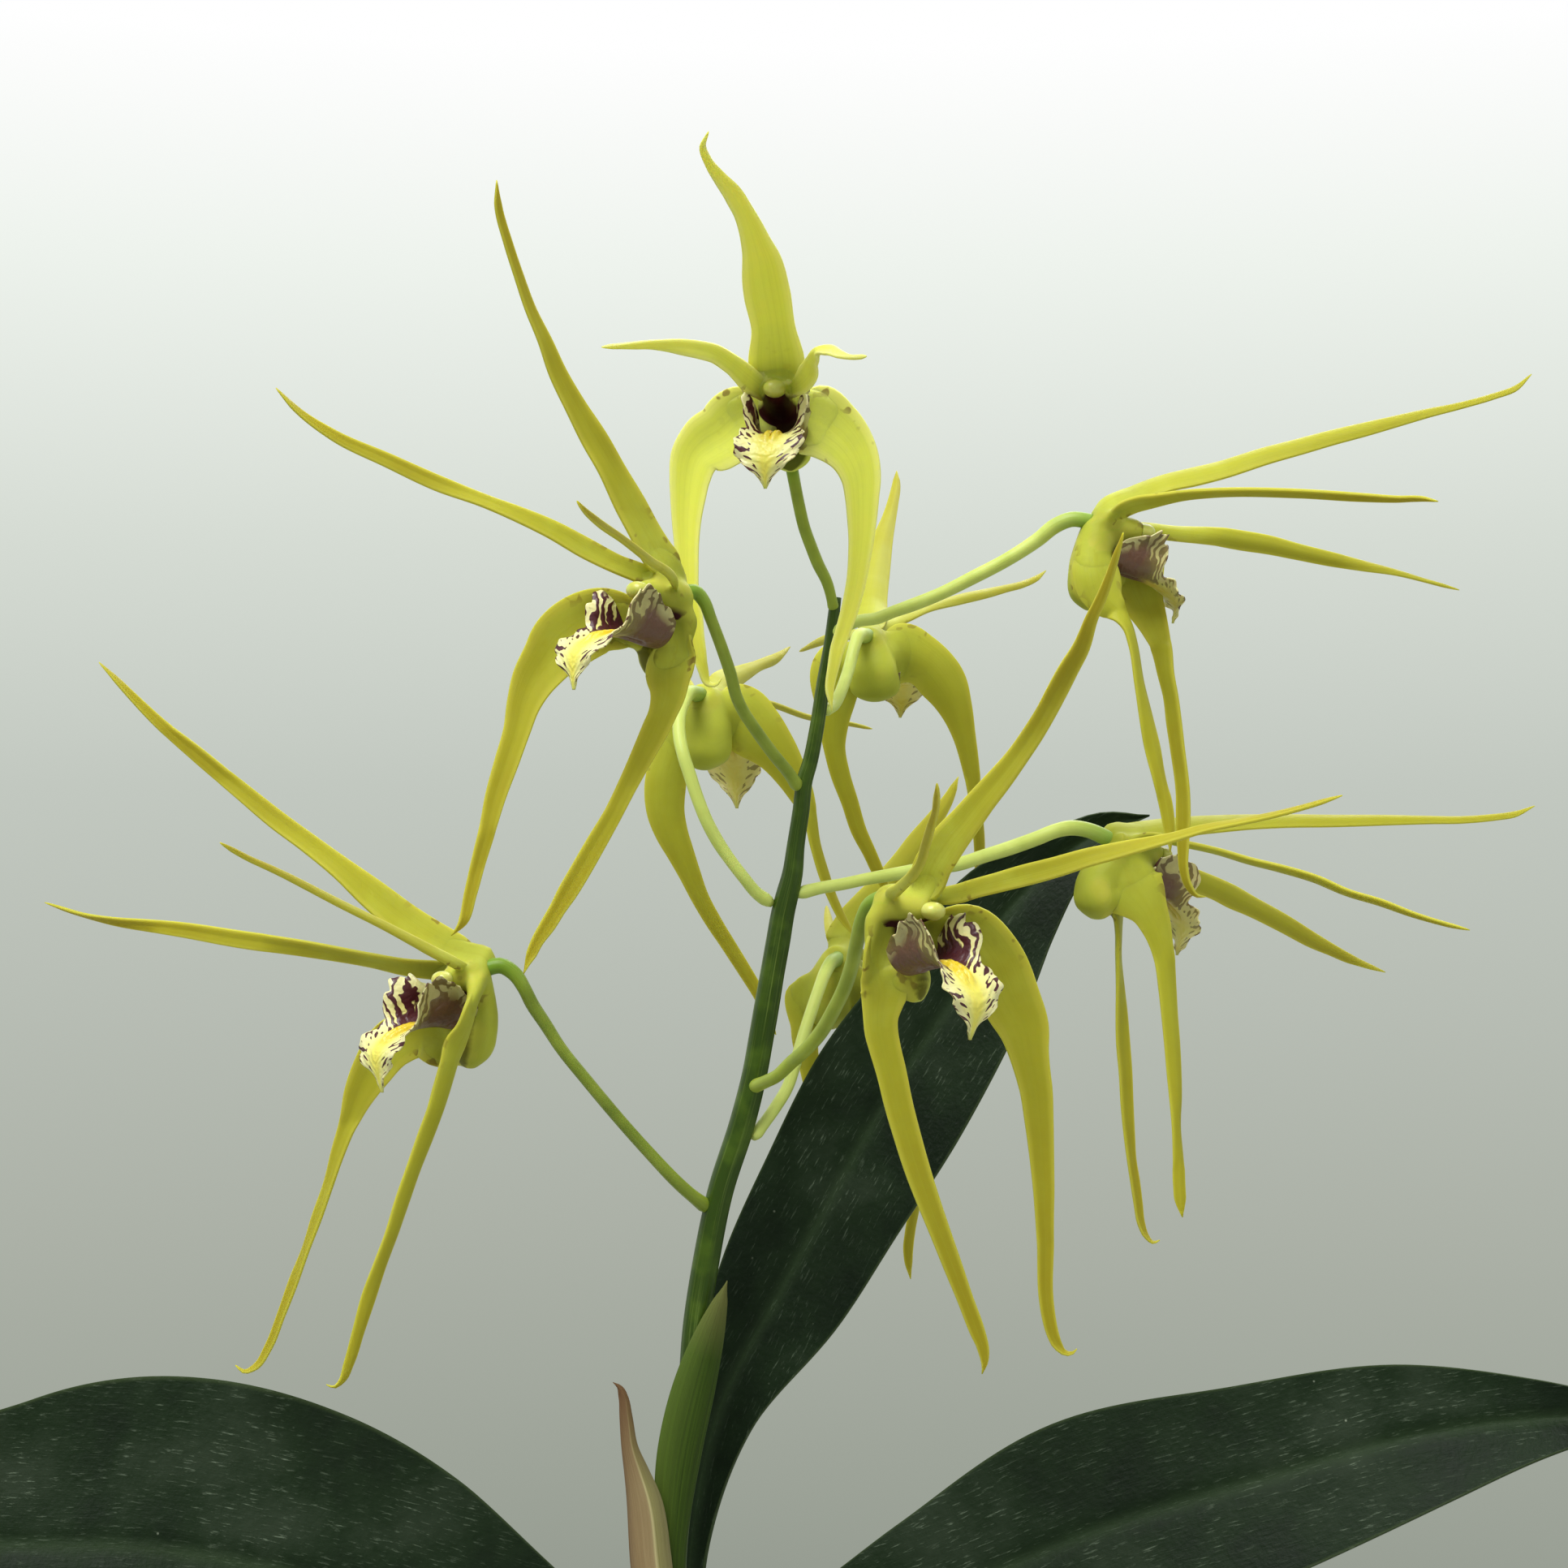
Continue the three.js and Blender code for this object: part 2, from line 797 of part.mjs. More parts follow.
// The arching stem and the nine flower stalks, each point pixel x, pixel y, depth and seen width
const RACHIS = [
  [836, 2062, 1, 32],
  [830, 1932, 0, 32],
  [850, 1750, 0, 33],
  [870, 1556, 0, 33],
  [916, 1380, 0, 32],
  [945, 1240, 0, 31],
  [966, 1120, 0, 29],
  [981, 1040, 0, 22],
  [1006, 900, 0, 18],
  [1022, 800, 0, 16],
  [1030, 736, 0, 14],
];
const PEDICELS = [
  [[1028, 752, 0, 12], [1018, 715, -2, 14], [1003, 680, -4, 15], [985, 625, -6, 15], [974, 568, -7.5, 16]],
  [[985, 972, 0, 14], [955, 932, -5, 15], [928, 895, -9, 15], [903, 838, -13, 15], [880, 775, -16, 15], [862, 735, -18, 17], [842, 730, -19, 20]],
  [[874, 1490, 0, 16], [840, 1462, -3, 16], [795, 1415, -5, 15], [722, 1330, -8, 15], [672, 1262, -9, 16], [646, 1212, -10, 17], [618, 1190, -10, 20], [596, 1194, -10, 20]],
  [[1024, 782, 0, 14], [1058, 765, -1, 15], [1120, 747, -2, 16], [1200, 711, -3, 17], [1280, 664, -4, 18], [1320, 640, -5, 19], [1346, 643, -5, 20]],
  [[980, 1102, 0, 14], [1011, 1094, 1, 15], [1097, 1078, 3, 16], [1180, 1065, 5, 17], [1280, 1032, 8, 18], [1335, 1021, 9, 19], [1372, 1038, 10, 20]],
  [[926, 1340, 0, 15], [957, 1326, -6, 16], [1009, 1275, -14, 18], [1041, 1216, -21, 18], [1056, 1160, -27, 18], [1070, 1115, -31, 19], [1090, 1105, -33, 21]],
  [[952, 1114, 0, 14], [917, 1082, -1, 15], [870, 1010, 0, 16], [842, 930, 2, 16], [837, 885, 5, 16], [848, 855, 9, 18], [862, 856, 13, 20]],
  [[1016, 876, 0, 13], [1034, 858, 4, 15], [1047, 820, 9, 15], [1056, 786, 12, 16], [1068, 784, 16, 20]],
  [[928, 1402, 0, 14], [970, 1340, 7, 15], [990, 1276, 13, 15], [1009, 1219, 18, 15], [1022, 1188, 22, 17], [1030, 1182, 25, 20]],
];
const RACHIS_RINGS = 18;
const PEDICEL_RINGS = 8;

// Leaves, sheath and dry bract, each point pixel x, pixel y and seen width
const LEAVES = {
  leaf_back: {
    depth: [4, 20],
    lean: 0.25,
    path: [
      [846, 2050, 34], [852, 1900, 44], [885, 1740, 92], [968, 1580, 165], [1023, 1478, 182],
      [1098, 1348, 196], [1180, 1224, 168], [1243, 1122, 130], [1328, 1042, 62], [1417, 1004, 10],
    ],
  },
  leaf_left: {
    depth: [2, -14],
    lean: -0.55,
    path: [
      [822, 2090, 50], [680, 2016, 150], [520, 1968, 300], [350, 1925, 380], [184, 1890, 396],
      [0, 1888, 330], [-140, 1892, 200], [-250, 1900, 20],
    ],
  },
  leaf_right: {
    depth: [0, -16],
    lean: 0.55,
    path: [
      [846, 2080, 54], [1000, 2012, 112], [1150, 1958, 190], [1350, 1880, 260], [1550, 1820, 220],
      [1750, 1765, 165], [1900, 1745, 86], [2060, 1745, 12],
    ],
  },
};
const SHEATH = {
  depth: [-3.6, -2.4],
  path: [[824, 2070, 40], [826, 1890, 42], [838, 1785, 54], [858, 1700, 50], [876, 1640, 34], [896, 1578, 5]],
};
const BRACT = {
  depth: [-1.6, -3],
  path: [[806, 2036, 28], [797, 1920, 34], [787, 1850, 34], [778, 1785, 24], [768, 1740, 12], [757, 1703, 5]],
};

// Canes: foot and top in millimetres, the thickest radius and how many swollen joints
const CANES = {
  cane_flowering: { foot: [1, 3, CANE_FOOT], top: [-3.4, 1, CANE_TOP], radius: CANE_RADIUS },
  cane_old_left: { foot: [-17, 8, CANE_FOOT], top: [-40, 26, 176], radius: 5.4 },
  cane_old_right: { foot: [15, 12, CANE_FOOT], top: [30, 34, 150], radius: 5.0 },
};

// A cane is slim at its foot, thickest two thirds of the way up, and ringed at each joint
function cane({ foot, top, radius }, grow = 0) {
  const from = new THREE.Vector3(...foot);
  const to = new THREE.Vector3(...top);
  const joints = Math.max(Math.round(from.distanceTo(to) / RING_SPACING), 3);
  const line = [];
  const radii = [];
  for (let j = 0; j < joints; j += 1) {
    for (const part of [0, 0.14, 0.86]) {
      const t = (j + part) / joints;
      const swell = 0.56 + 0.44 * Math.sin(Math.PI * t ** 1.5);
      const ring = part === 0 ? 1.06 : 0.96;
      line.push(from.clone().lerp(to, t));
      radii.push(radius * swell * ring);
    }
  }
  line.push(to);
  radii.push(radius * 0.58);
  return strand(line, radii, 9, grow);
}

function lathe(profile, segments) {
  const points = profile.map(([r, z]) => new THREE.Vector2(r, z));
  const turned = new THREE.LatheGeometry(points, segments).rotateX(Math.PI / 2);
  const bare = new THREE.BufferGeometry();
  bare.setAttribute("position", turned.getAttribute("position"));
  bare.setIndex(turned.index);
  const merged = mergeVertices(bare, 1e-3);
  const made = solid(merged);
  if (made.volume() > 0) return made;
  const flipped = merged.clone();
  const index = Array.from(merged.index.array);
  for (let i = 0; i < index.length; i += 3) {
    [index[i + 1], index[i + 2]] = [index[i + 2], index[i + 1]];
  }
  flipped.setIndex(index);
  return solid(flipped);
}

const FLOOR = 7;
const SEGMENTS = 32;
const INNER_TOP = POT_TOP_RADIUS - POT_WALL - 1;
const INNER_BASE = POT_BASE_RADIUS - POT_WALL + 2;

// Clay pot with a thick rim band and three drain holes beside its middle
function pot() {
  const shoulder = POT_HEIGHT - RIM_HEIGHT;
  const body = lathe(
    [
      [0, 0],
      [POT_BASE_RADIUS - 1.5, 0],
      [POT_BASE_RADIUS, 1.5],
      [POT_TOP_RADIUS - RIM_STEP - 3, shoulder - 1],
      [POT_TOP_RADIUS - 2, shoulder],
      [POT_TOP_RADIUS, POT_HEIGHT - 2],
      [POT_TOP_RADIUS - 1.5, POT_HEIGHT],
      [INNER_TOP + 1, POT_HEIGHT],
      [INNER_TOP, POT_HEIGHT - 1],
      [INNER_BASE, FLOOR],
      [0, FLOOR],
    ],
    SEGMENTS,
  );
  const holes = [0, 1, 2].map((i) => {
    const angle = (2 * Math.PI * i) / 3 + 0.4;
    const hole = new THREE.CylinderGeometry(DRAIN_RADIUS, DRAIN_RADIUS, 3 * FLOOR, 14);
    hole.rotateX(Math.PI / 2);
    hole.translate(Math.cos(angle) * DRAIN_CIRCLE, Math.sin(angle) * DRAIN_CIRCLE, 0);
    return solid(hole);
  });
  return cut(body, holes);
}

// A repeatable draw of numbers between 0 and 1
function draw(seed) {
  let state = seed;
  return () => {
    state = (state * 16807) % 2147483647;
    return state / 2147483647;
  };
}

const CHIPS = 22;
const CHIP_REACH = 39;

// Bark mix: a filled body inside the pot with loose chips pressed into its top
function bark() {
  const slope = (INNER_TOP - INNER_BASE) / (POT_HEIGHT - 1 - FLOOR);
  const wall = (z) => INNER_BASE + (z - FLOOR) * slope - GAP;
  const body = lathe(
    [
      [0, FLOOR + GAP],
      [wall(FLOOR + GAP), FLOOR + GAP],
      [wall(BARK_LEVEL - 2), BARK_LEVEL - 2],
      [wall(BARK_LEVEL) - 3, BARK_LEVEL],
      [0, BARK_LEVEL + 1],
    ],
    28,
  );
  const next = draw(57);
  const chips = [];
  for (let i = 0; i < CHIPS; i += 1) {
    const reach = CHIP_REACH * Math.sqrt((i + 0.5) / CHIPS);
    const angle = i * 2.39996 + next() * 0.5;
    const long = 11 + next() * 8;
    const chip = new THREE.BoxGeometry(long, 7 + next() * 5, 4 + next() * 3);
    chip.rotateX((next() - 0.5) * 1.1);
    chip.rotateY((next() - 0.5) * 0.9);
    chip.rotateZ(next() * Math.PI);
    const level = BARK_LEVEL + 0.6 + next() * 2.2;
    chip.translate(Math.cos(angle) * reach, Math.sin(angle) * reach, level);
    chips.push(solid(chip));
  }
  return fuse([body, ...chips]);
}

const COLOURS = {
  tepal: 0xc6cf3e,
  lip: 0xe8dc8a,
  cap: 0xf0ecb0,
  stem: 0x7fa04a,
  sheath: 0x6f8040,
  dry: 0xb39478,
  leaf: 0x22372b,
  cane: 0x8a9a4a,
  oldCane: 0x9a9460,
  clay: 0xb5673f,
  bark: 0x5a3d28,
};

const group = new THREE.Group();

// Corners closer than this are drawn together, so no face is a sliver
const WELD = 0.004;

function put(name, body, colour, roughness) {
  const { numProp, vertProperties, triVerts } = body.getMesh();
  const points = [];
  for (let i = 0; i < vertProperties.length; i += numProp) {
    points.push(new THREE.Vector3().fromArray(vertProperties, i));
  }
  const fused = new THREE.BufferGeometry().setFromPoints(points);
  fused.setIndex(Array.from(triVerts));
  const geometry = mergeVertices(fused, WELD);
  const corners = geometry.index.array;
  const kept = [];
  for (let i = 0; i < corners.length; i += 3) {
    const [a, b, c] = corners.slice(i, i + 3);
    if (a !== b && b !== c && c !== a) kept.push(a, b, c);
  }
  geometry.setIndex(kept);
  geometry.computeVertexNormals();
  const material = new THREE.MeshStandardMaterial({ color: colour, roughness, metalness: 0 });
  const mesh = new THREE.Mesh(geometry, material);
  mesh.name = name;
  group.add(mesh);
}

const swollen = FLOWERS.map((flower) => perianth(flower, GAP));
FLOWERS.forEach((flower, i) => {
  put("bloom_" + flower.name, perianth(flower), COLOURS.tepal, 0.45);
  put("lip_" + flower.name, cut(lip(flower), [swollen[i], cap(flower, GAP)]), COLOURS.lip, 0.4);
  put("cap_" + flower.name, cut(cap(flower), [swollen[i]]), COLOURS.cap, 0.4);
});

const caneRoom = Object.values(CANES).map((shape) => cane(shape, GAP));
const stemOf = (grow) =>
  fuse([
    stem(RACHIS, RACHIS_RINGS, 8, grow),
    ...PEDICELS.map((path) => stem(path, PEDICEL_RINGS, 6, grow)),
  ]);
const racemeStem = cut(stemOf(0), [...swollen, caneRoom[0]]);
put("raceme_stem", racemeStem, COLOURS.stem, 0.45);
const stemRoom = stemOf(GAP);

const leafBlade = (shape, inner, thick, channel, grow = 0) =>
  seenBlade(shape, [0, 0], inner, 14, thick, thick, channel, grow);
for (const [name, shape] of Object.entries(LEAVES)) {
  const body = leafBlade(shape, new THREE.Vector3(0, -1, 0.4), LEAF_THICKNESS, 0.12);
  put(name, cut(body, [caneRoom[0], stemRoom]), COLOURS.leaf, 0.4);
}
const sheathRoom = leafBlade(SHEATH, AWAY, 0.8, 0.35, GAP);
put(
  "peduncle_sheath",
  cut(leafBlade(SHEATH, AWAY, 0.8, 0.35), [caneRoom[0], stemRoom]),
  COLOURS.sheath,
  0.5,
);
put(
  "dry_bract",
  cut(leafBlade(BRACT, AWAY, 0.8, 0.35), [caneRoom[0], stemRoom, sheathRoom]),
  COLOURS.dry,
  0.8,
);

for (const [name, shape] of Object.entries(CANES)) {
  put(name, cane(shape), name === "cane_flowering" ? COLOURS.cane : COLOURS.oldCane, 0.55);
}
put("pot", pot(), COLOURS.clay, 0.85);
put("bark_mix", cut(bark(), caneRoom), COLOURS.bark, 0.95);

export default group;
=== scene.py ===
# %% [markdown]
# # A spidery dendrobium in a clay pot
# This lesson dresses a finished solid model of an orchid. The solids stay as the frame that says
# where everything is; each visible piece is a finer surface worked out here with numpy and laid
# over the solid it stands for. The frame is loaded first.

import bpy
import numpy as np
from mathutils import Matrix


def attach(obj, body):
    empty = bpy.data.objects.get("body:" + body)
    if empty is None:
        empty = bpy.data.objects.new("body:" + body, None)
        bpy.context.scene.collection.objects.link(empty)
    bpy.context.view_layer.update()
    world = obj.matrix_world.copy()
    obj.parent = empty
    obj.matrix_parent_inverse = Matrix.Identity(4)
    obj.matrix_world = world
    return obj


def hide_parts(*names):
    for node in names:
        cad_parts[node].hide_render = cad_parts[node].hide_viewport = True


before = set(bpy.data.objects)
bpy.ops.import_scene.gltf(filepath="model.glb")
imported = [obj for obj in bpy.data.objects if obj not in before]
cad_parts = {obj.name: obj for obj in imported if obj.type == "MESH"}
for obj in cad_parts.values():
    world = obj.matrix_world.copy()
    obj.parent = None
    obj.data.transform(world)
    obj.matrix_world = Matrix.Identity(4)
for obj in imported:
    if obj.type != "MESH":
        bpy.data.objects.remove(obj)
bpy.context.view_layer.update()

# %% [markdown]
# ## One eye for every place
# The plant was measured in a photograph, so each place on it is a pixel and a depth behind the
# plane of the flower stem. In that plane a pixel is a tenth of a millimetre, and it grows evenly
# with the distance from the eye. One function turns such a place into millimetres. The same eye
# is the camera, so a piece laid out this way is seen where the photograph shows it.

# %% The eye and the camera
EYE = np.array([10.0, -300.0, 330.0])
PIXEL = 0.1
PHOTO_MIDDLE = 966.0
SENSOR = 36.0
AWAY = np.array([0.0, 1.0, 0.0])
UP = np.array([0.0, 0.0, 1.0])
MM = 0.001


def pixel(depth):
    """Size of a pixel in millimetres: it grows with the distance from the eye."""
    return PIXEL * (np.asarray(depth, float) - EYE[1]) / -EYE[1]


def seen(px, py, depth):
    """Place seen at a pixel: the eye's place plus the pixel's offset from the picture's middle
    times the size of a pixel at that depth."""
    size = pixel(depth)
    x = EYE[0] + (np.asarray(px, float) - PHOTO_MIDDLE) * size
    z = EYE[2] - (np.asarray(py, float) - PHOTO_MIDDLE) * size
    return np.stack(np.broadcast_arrays(x, np.asarray(depth, float), z), -1)


view = bpy.data.cameras.new("photo_view")
view.sensor_width = SENSOR
view.lens = SENSOR * -EYE[1] / (2 * PHOTO_MIDDLE * PIXEL)
camera = bpy.data.objects.new("photo_view", view)
camera.location = EYE * MM
camera.rotation_euler = (np.pi / 2, 0, 0)
bpy.context.scene.collection.objects.link(camera)
bpy.context.scene.camera = camera
print("lens in millimetres:", round(view.lens, 1))

# %% [markdown]
# ## Lines, sheets and tubes
# A plant is made of a few kinds of surface. A sepal, petal, lip or leaf is a sheet: a middle
# surface of two parameters, one across and one along, given a thickness on both sides. A stalk,
# cane or column is a tube carried along a line. Both become rings of points, and one function
# closes the rings into a mesh. Whole arrays are worked out at once, which is quick and keeps each
# formula readable.

# %% Lines
def smooth(points, count, keys=3):
    """Curve through the points, read at even steps of length. Between two points it is a cubic
    whose slope at each point is the weighted mean of the slopes on both sides."""
    points = np.asarray(points, float)
    steps = np.linalg.norm(np.diff(points[:, :keys], axis=0), axis=1)
    knots = np.concatenate([[0.0], np.cumsum(steps)])
    slopes = np.gradient(points, knots, axis=0)
    s = np.linspace(0, knots[-1], count)
    i = np.clip(np.searchsorted(knots, s, side="right") - 1, 0, len(points) - 2)
    h = (knots[i + 1] - knots[i])[:, None]
    t = (s - knots[i])[:, None] / h
    start = (2 * t**3 - 3 * t**2 + 1) * points[i] + (t**3 - 2 * t**2 + t) * h * slopes[i]
    end = (-2 * t**3 + 3 * t**2) * points[i + 1] + (t**3 - t**2) * h * slopes[i + 1]
    return start + end


def unit(vectors):
    """Each vector divided by its own length."""
    return vectors / np.maximum(np.linalg.norm(vectors, axis=-1, keepdims=True), 1e-9)


def read(values, t):
    """Listed values read between 0 and 1, straight from each to the next."""
    return np.interp(t, np.linspace(0, 1, len(values)), values)


def ease(t):
    """Soft step from 0 to 1: three t squared less two t cubed."""
    t = np.clip(t, 0, 1)
    return t * t * (3 - 2 * t)


print("a soft step, a quarter of the way:", ease(0.25))

# %% Rings for a sheet
def sheet_rings(middle, thickness, across, along, toward):
    """Both faces of a sheet as closed rings. Each face lies half the thickness from the middle
    surface, along its normal: the cross product of its slopes along and across, turned so that
    the inner face looks the given way. The first half of a ring is the inner face and the second
    half runs back along the outer face."""
    du = np.gradient(middle, axis=0)
    dv = np.gradient(middle, axis=1)
    normal = unit(np.cross(du, dv))
    centre = middle.shape[1] // 2
    if (normal[:, centre] * toward).sum() < 0:
        normal = -normal
    half = normal * thickness[..., None] / 2
    return {
        "points": np.concatenate([middle + half, (middle - half)[:, ::-1]], axis=1),
        "across": np.concatenate([across, across[:, ::-1]], axis=1),
        "along": np.concatenate([along, along[:, ::-1]], axis=1),
        "inner": np.concatenate([np.ones_like(across), np.zeros_like(across)], axis=1),
    }

# %% Rings for a tube
def tube_rings(line, radii, sides, shape=1.0):
    """Rings round a line: a circle in the plane square to the line, its radius read along it.
    A shape is a further factor of the radius for each ring and angle."""
    way = unit(np.gradient(line, axis=0))
    side = unit(np.cross(way, AWAY + 0.01 * UP))
    over = unit(np.cross(side, way))
    angle = np.linspace(0, 2 * np.pi, sides, endpoint=False)
    size = np.repeat(np.asarray(radii, float)[:, None], sides, axis=1) * shape
    spread = np.cos(angle)[None, :, None] * side[:, None] + np.sin(angle)[None, :, None] * over[:, None]
    along = np.repeat(np.linspace(0, 1, len(line))[:, None], sides, axis=1)
    across = np.repeat((0.5 + 0.5 * np.cos(angle))[None], len(line), axis=0)
    return {
        "points": line[:, None] + spread * size[..., None],
        "across": across,
        "along": along,
        "inner": np.zeros_like(across),
    }

# %% [markdown]
# A ring surface has rows of four-sided faces, and each end is closed by a fan of triangles round
# its own middle point. The sign of the volume inside tells whether the faces look outwards; if it
# is negative every face is turned. The two surface parameters are kept as a UV map, and anything
# else that a finish needs, such as which face is the inner one, as a value on each point.

# %% Closing the rings
def closed_rings(rings):
    """Points, faces and values of one closed surface made from its rings."""
    grid = rings["points"]
    rows, size = grid.shape[:2]
    i, k = np.meshgrid(np.arange(rows - 1), np.arange(size), indexing="ij")
    a = (i * size + k).ravel()
    b = (i * size + (k + 1) % size).ravel()
    quads = np.stack([a, b, b + size, a + size], -1)
    points = np.concatenate([grid.reshape(-1, 3), grid[:1].mean(1), grid[-1:].mean(1)])
    ring = np.arange(size)
    following = (ring + 1) % size
    first = np.full(size, rows * size)
    last = (rows - 1) * size
    fans = np.concatenate([
        np.stack([first, following, ring], -1),
        np.stack([first + 1, last + ring, last + following], -1),
    ])
    corners = points[np.concatenate([quads[:, [0, 1, 2]], quads[:, [0, 2, 3]], fans])]
    if (corners[:, 0] * np.cross(corners[:, 1], corners[:, 2])).sum() < 0:
        quads, fans = quads[:, ::-1], fans[:, ::-1]
    values = {}
    for name, value in rings.items():
        if name != "points":
            value = np.broadcast_to(np.asarray(value, float), (rows, size))
            values[name] = np.concatenate([value.ravel(), [value[0].mean(), value[-1].mean()]])
    return points, quads, fans, values

# %% From rings to a piece
def collected(surfaces):
    """Points, faces and values of several closed surfaces, each in one list."""
    points, faces, values, count = [], [], {}, 0
    for rings in surfaces:
        spots, quads, fans, own = closed_rings(rings)
        points.append(spots)
        faces += (quads + count).tolist() + (fans + count).tolist()
        count += len(spots)
        for key, value in own.items():
            values.setdefault(key, []).append(value)
    return np.concatenate(points), faces, {key: np.concatenate(parts) for key, parts in values.items()}


def dressed(name, mesh, values, material):
    """Object from a mesh. The places across and along become its surface map, and every other
    value an attribute of its points."""
    mesh.polygons.foreach_set("use_smooth", np.ones(len(mesh.polygons), bool))
    corner = np.empty(len(mesh.loops), np.int32)
    mesh.loops.foreach_get("vertex_index", corner)
    flat = np.stack([values.pop("across"), values.pop("along")], -1)[corner]
    layer = mesh.uv_layers.new(name="surface")
    layer.data.foreach_set("uv", flat.ravel().astype(np.float32))
    for key, value in values.items():
        attribute = mesh.attributes.new(key, "FLOAT", "POINT")
        attribute.data.foreach_set("value", value.astype(np.float32))
    mesh.materials.clear()
    mesh.materials.append(material)
    mesh.update()
    piece = bpy.data.objects.new(name, mesh)
    bpy.context.scene.collection.objects.link(piece)
    return piece


def make_piece(name, surfaces, material, node):
    """One object from closed surfaces. It rides on the plant and stands for the named solid."""
    points, faces, values = collected(surfaces)
    mesh = bpy.data.meshes.new(name)
    mesh.from_pydata(points * MM, [], faces)
    piece = dressed(name, mesh, values, material)
    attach(piece, "root")
    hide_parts(node)
    return piece
# %% [markdown]
# ## What was measured
# Each bloom is a list of places in pixels with a depth in millimetres behind the stem's plane: its
# heart, the cap on its column, two places down its chin, seven along its lip, and its sepals and
# petals as pixels with the width seen there.

# %% Places of the blooms
FLOWERS = {}

# %% Bloom a
FLOWERS["a"] = {
    "heart": (962, 497, -11),
    "cap": (954, 478, -19),
    "chin": ((972, 545, -9), (974, 572, -9.5)),
    "lip": (
        (964, 560, -12.5), (961, 551, -14.5), (957, 544, -17), (954, 538, -19.5),
        (949, 540, -21.5), (943, 564, -23), (943, 602, -22),
    ),
    "tepals": (
        ("dorsal", (-12, -55), 1, (
            (957, 450, 68), (952, 400, 54), (944.5, 360, 57), (937, 320, 49), (931, 300, 38),
            (924, 280, 31), (915, 260, 26), (903, 240, 25), (887, 220, 18), (873, 200, 12),
            (866, 180, 9), (873, 162, 3),
        )),
        ("petal", (-12, -48), 1, (
            (925, 470, 30), (900, 448, 24), (880, 436, 23), (860, 431, 22), (840, 428, 20),
            (820, 426, 15), (800, 425, 11), (780, 426, 9), (760, 427, 6), (741, 428, 3),
        )),
        ("petal", (-12, -52), 1, (
            (995, 462, 28), (1001, 445, 20), (1008, 433, 16), (1022, 432, 18), (1035, 437, 14),
            (1050, 440, 7), (1068, 439, 3),
        )),
        ("lateral", (-12, -12), 1, (
            (912, 520, 85), (890, 538, 80), (873, 548, 77), (858, 562, 63), (850, 590, 50),
            (848, 610, 44), (846, 640, 36), (846, 670, 30), (847, 700, 27), (849, 730, 24),
            (855, 760, 22), (858, 785, 20), (862, 805, 17), (866, 825, 13), (873, 843, 8),
            (882, 844, 6), (889, 836, 3),
        )),
        ("lateral", (-12, -9), 1, (
            (998, 519, 87), (1028, 534, 78), (1052, 562, 60), (1061, 590, 48), (1062, 610, 42),
            (1062, 640, 36), (1061, 665, 31), (1059, 685, 28), (1056, 710, 25), (1051, 735, 23),
            (1045, 758, 21), (1038, 780, 19), (1031, 802, 17), (1026, 825, 14), (1022, 848, 11),
            (1025, 876, 4),
        )),
    ),
}
print("bloom a has", len(FLOWERS["a"]["tepals"]), "sepals and petals")

# %% Bloom b
FLOWERS["b"] = {
    "heart": (835, 737, -19),
    "cap": (784, 727, -24),
    "chin": ((822, 788, -17), (806, 822, -17.5)),
    "lip": (
        (808, 797, -20), (795, 794, -21.5), (779, 789, -23), (758, 784, -25),
        (733, 787, -27), (710, 803, -28.5), (707, 850, -28.5),
    ),
    "tepals": (
        ("dorsal", (-20, -34), -1, (
            (820, 700, 42), (806, 680, 42), (795, 660, 39), (774, 620, 38), (753, 580, 33),
            (731, 540, 33), (708, 500, 27), (687, 460, 23), (671, 420, 18), (653, 380, 14),
            (639, 340, 12), (626, 300, 11), (614, 255, 9), (612, 222, 4),
        )),
        ("petal", (-20, -30), -1, (
            (795, 710, 24), (760, 696, 24), (720, 675, 26), (680, 653, 24), (640, 635, 21),
            (600, 619, 18), (540, 596, 20), (479, 568, 18), (412, 537, 14), (367, 506, 8),
            (340, 478, 3),
        )),
        ("petal", (-22, -62), -1, (
            (828, 712, 13), (800, 690, 13), (768, 665, 12), (738, 644, 12), (722, 630, 9),
            (711, 617, 3),
        )),
        ("lateral", (-20, -26), 1, (
            (740, 765, 80), (690, 794, 78), (675, 813, 65), (658, 838, 54), (646, 866, 42),
            (637, 900, 33), (624, 940, 30), (611, 980, 26), (601, 1020, 21), (590, 1060, 18),
            (580, 1100, 16), (569, 1138, 11), (556, 1153, 4),
        )),
        ("lateral", (-18, -22), -1, (
            (843, 762, 26), (840, 785, 38), (832, 806, 52), (824, 830, 56), (823, 856, 43),
            (816, 880, 34), (807, 900, 33), (797, 920, 30),
            (777, 960, 25), (757, 1000, 23), (734, 1040, 25), (711, 1080, 25), (699, 1100, 24),
            (687, 1120, 20), (675, 1140, 19), (662, 1160, 15), (653, 1180, 12), (645, 1200, 5),
        )),
    ),
}
print("bloom b has", len(FLOWERS["b"]["tepals"]), "sepals and petals")

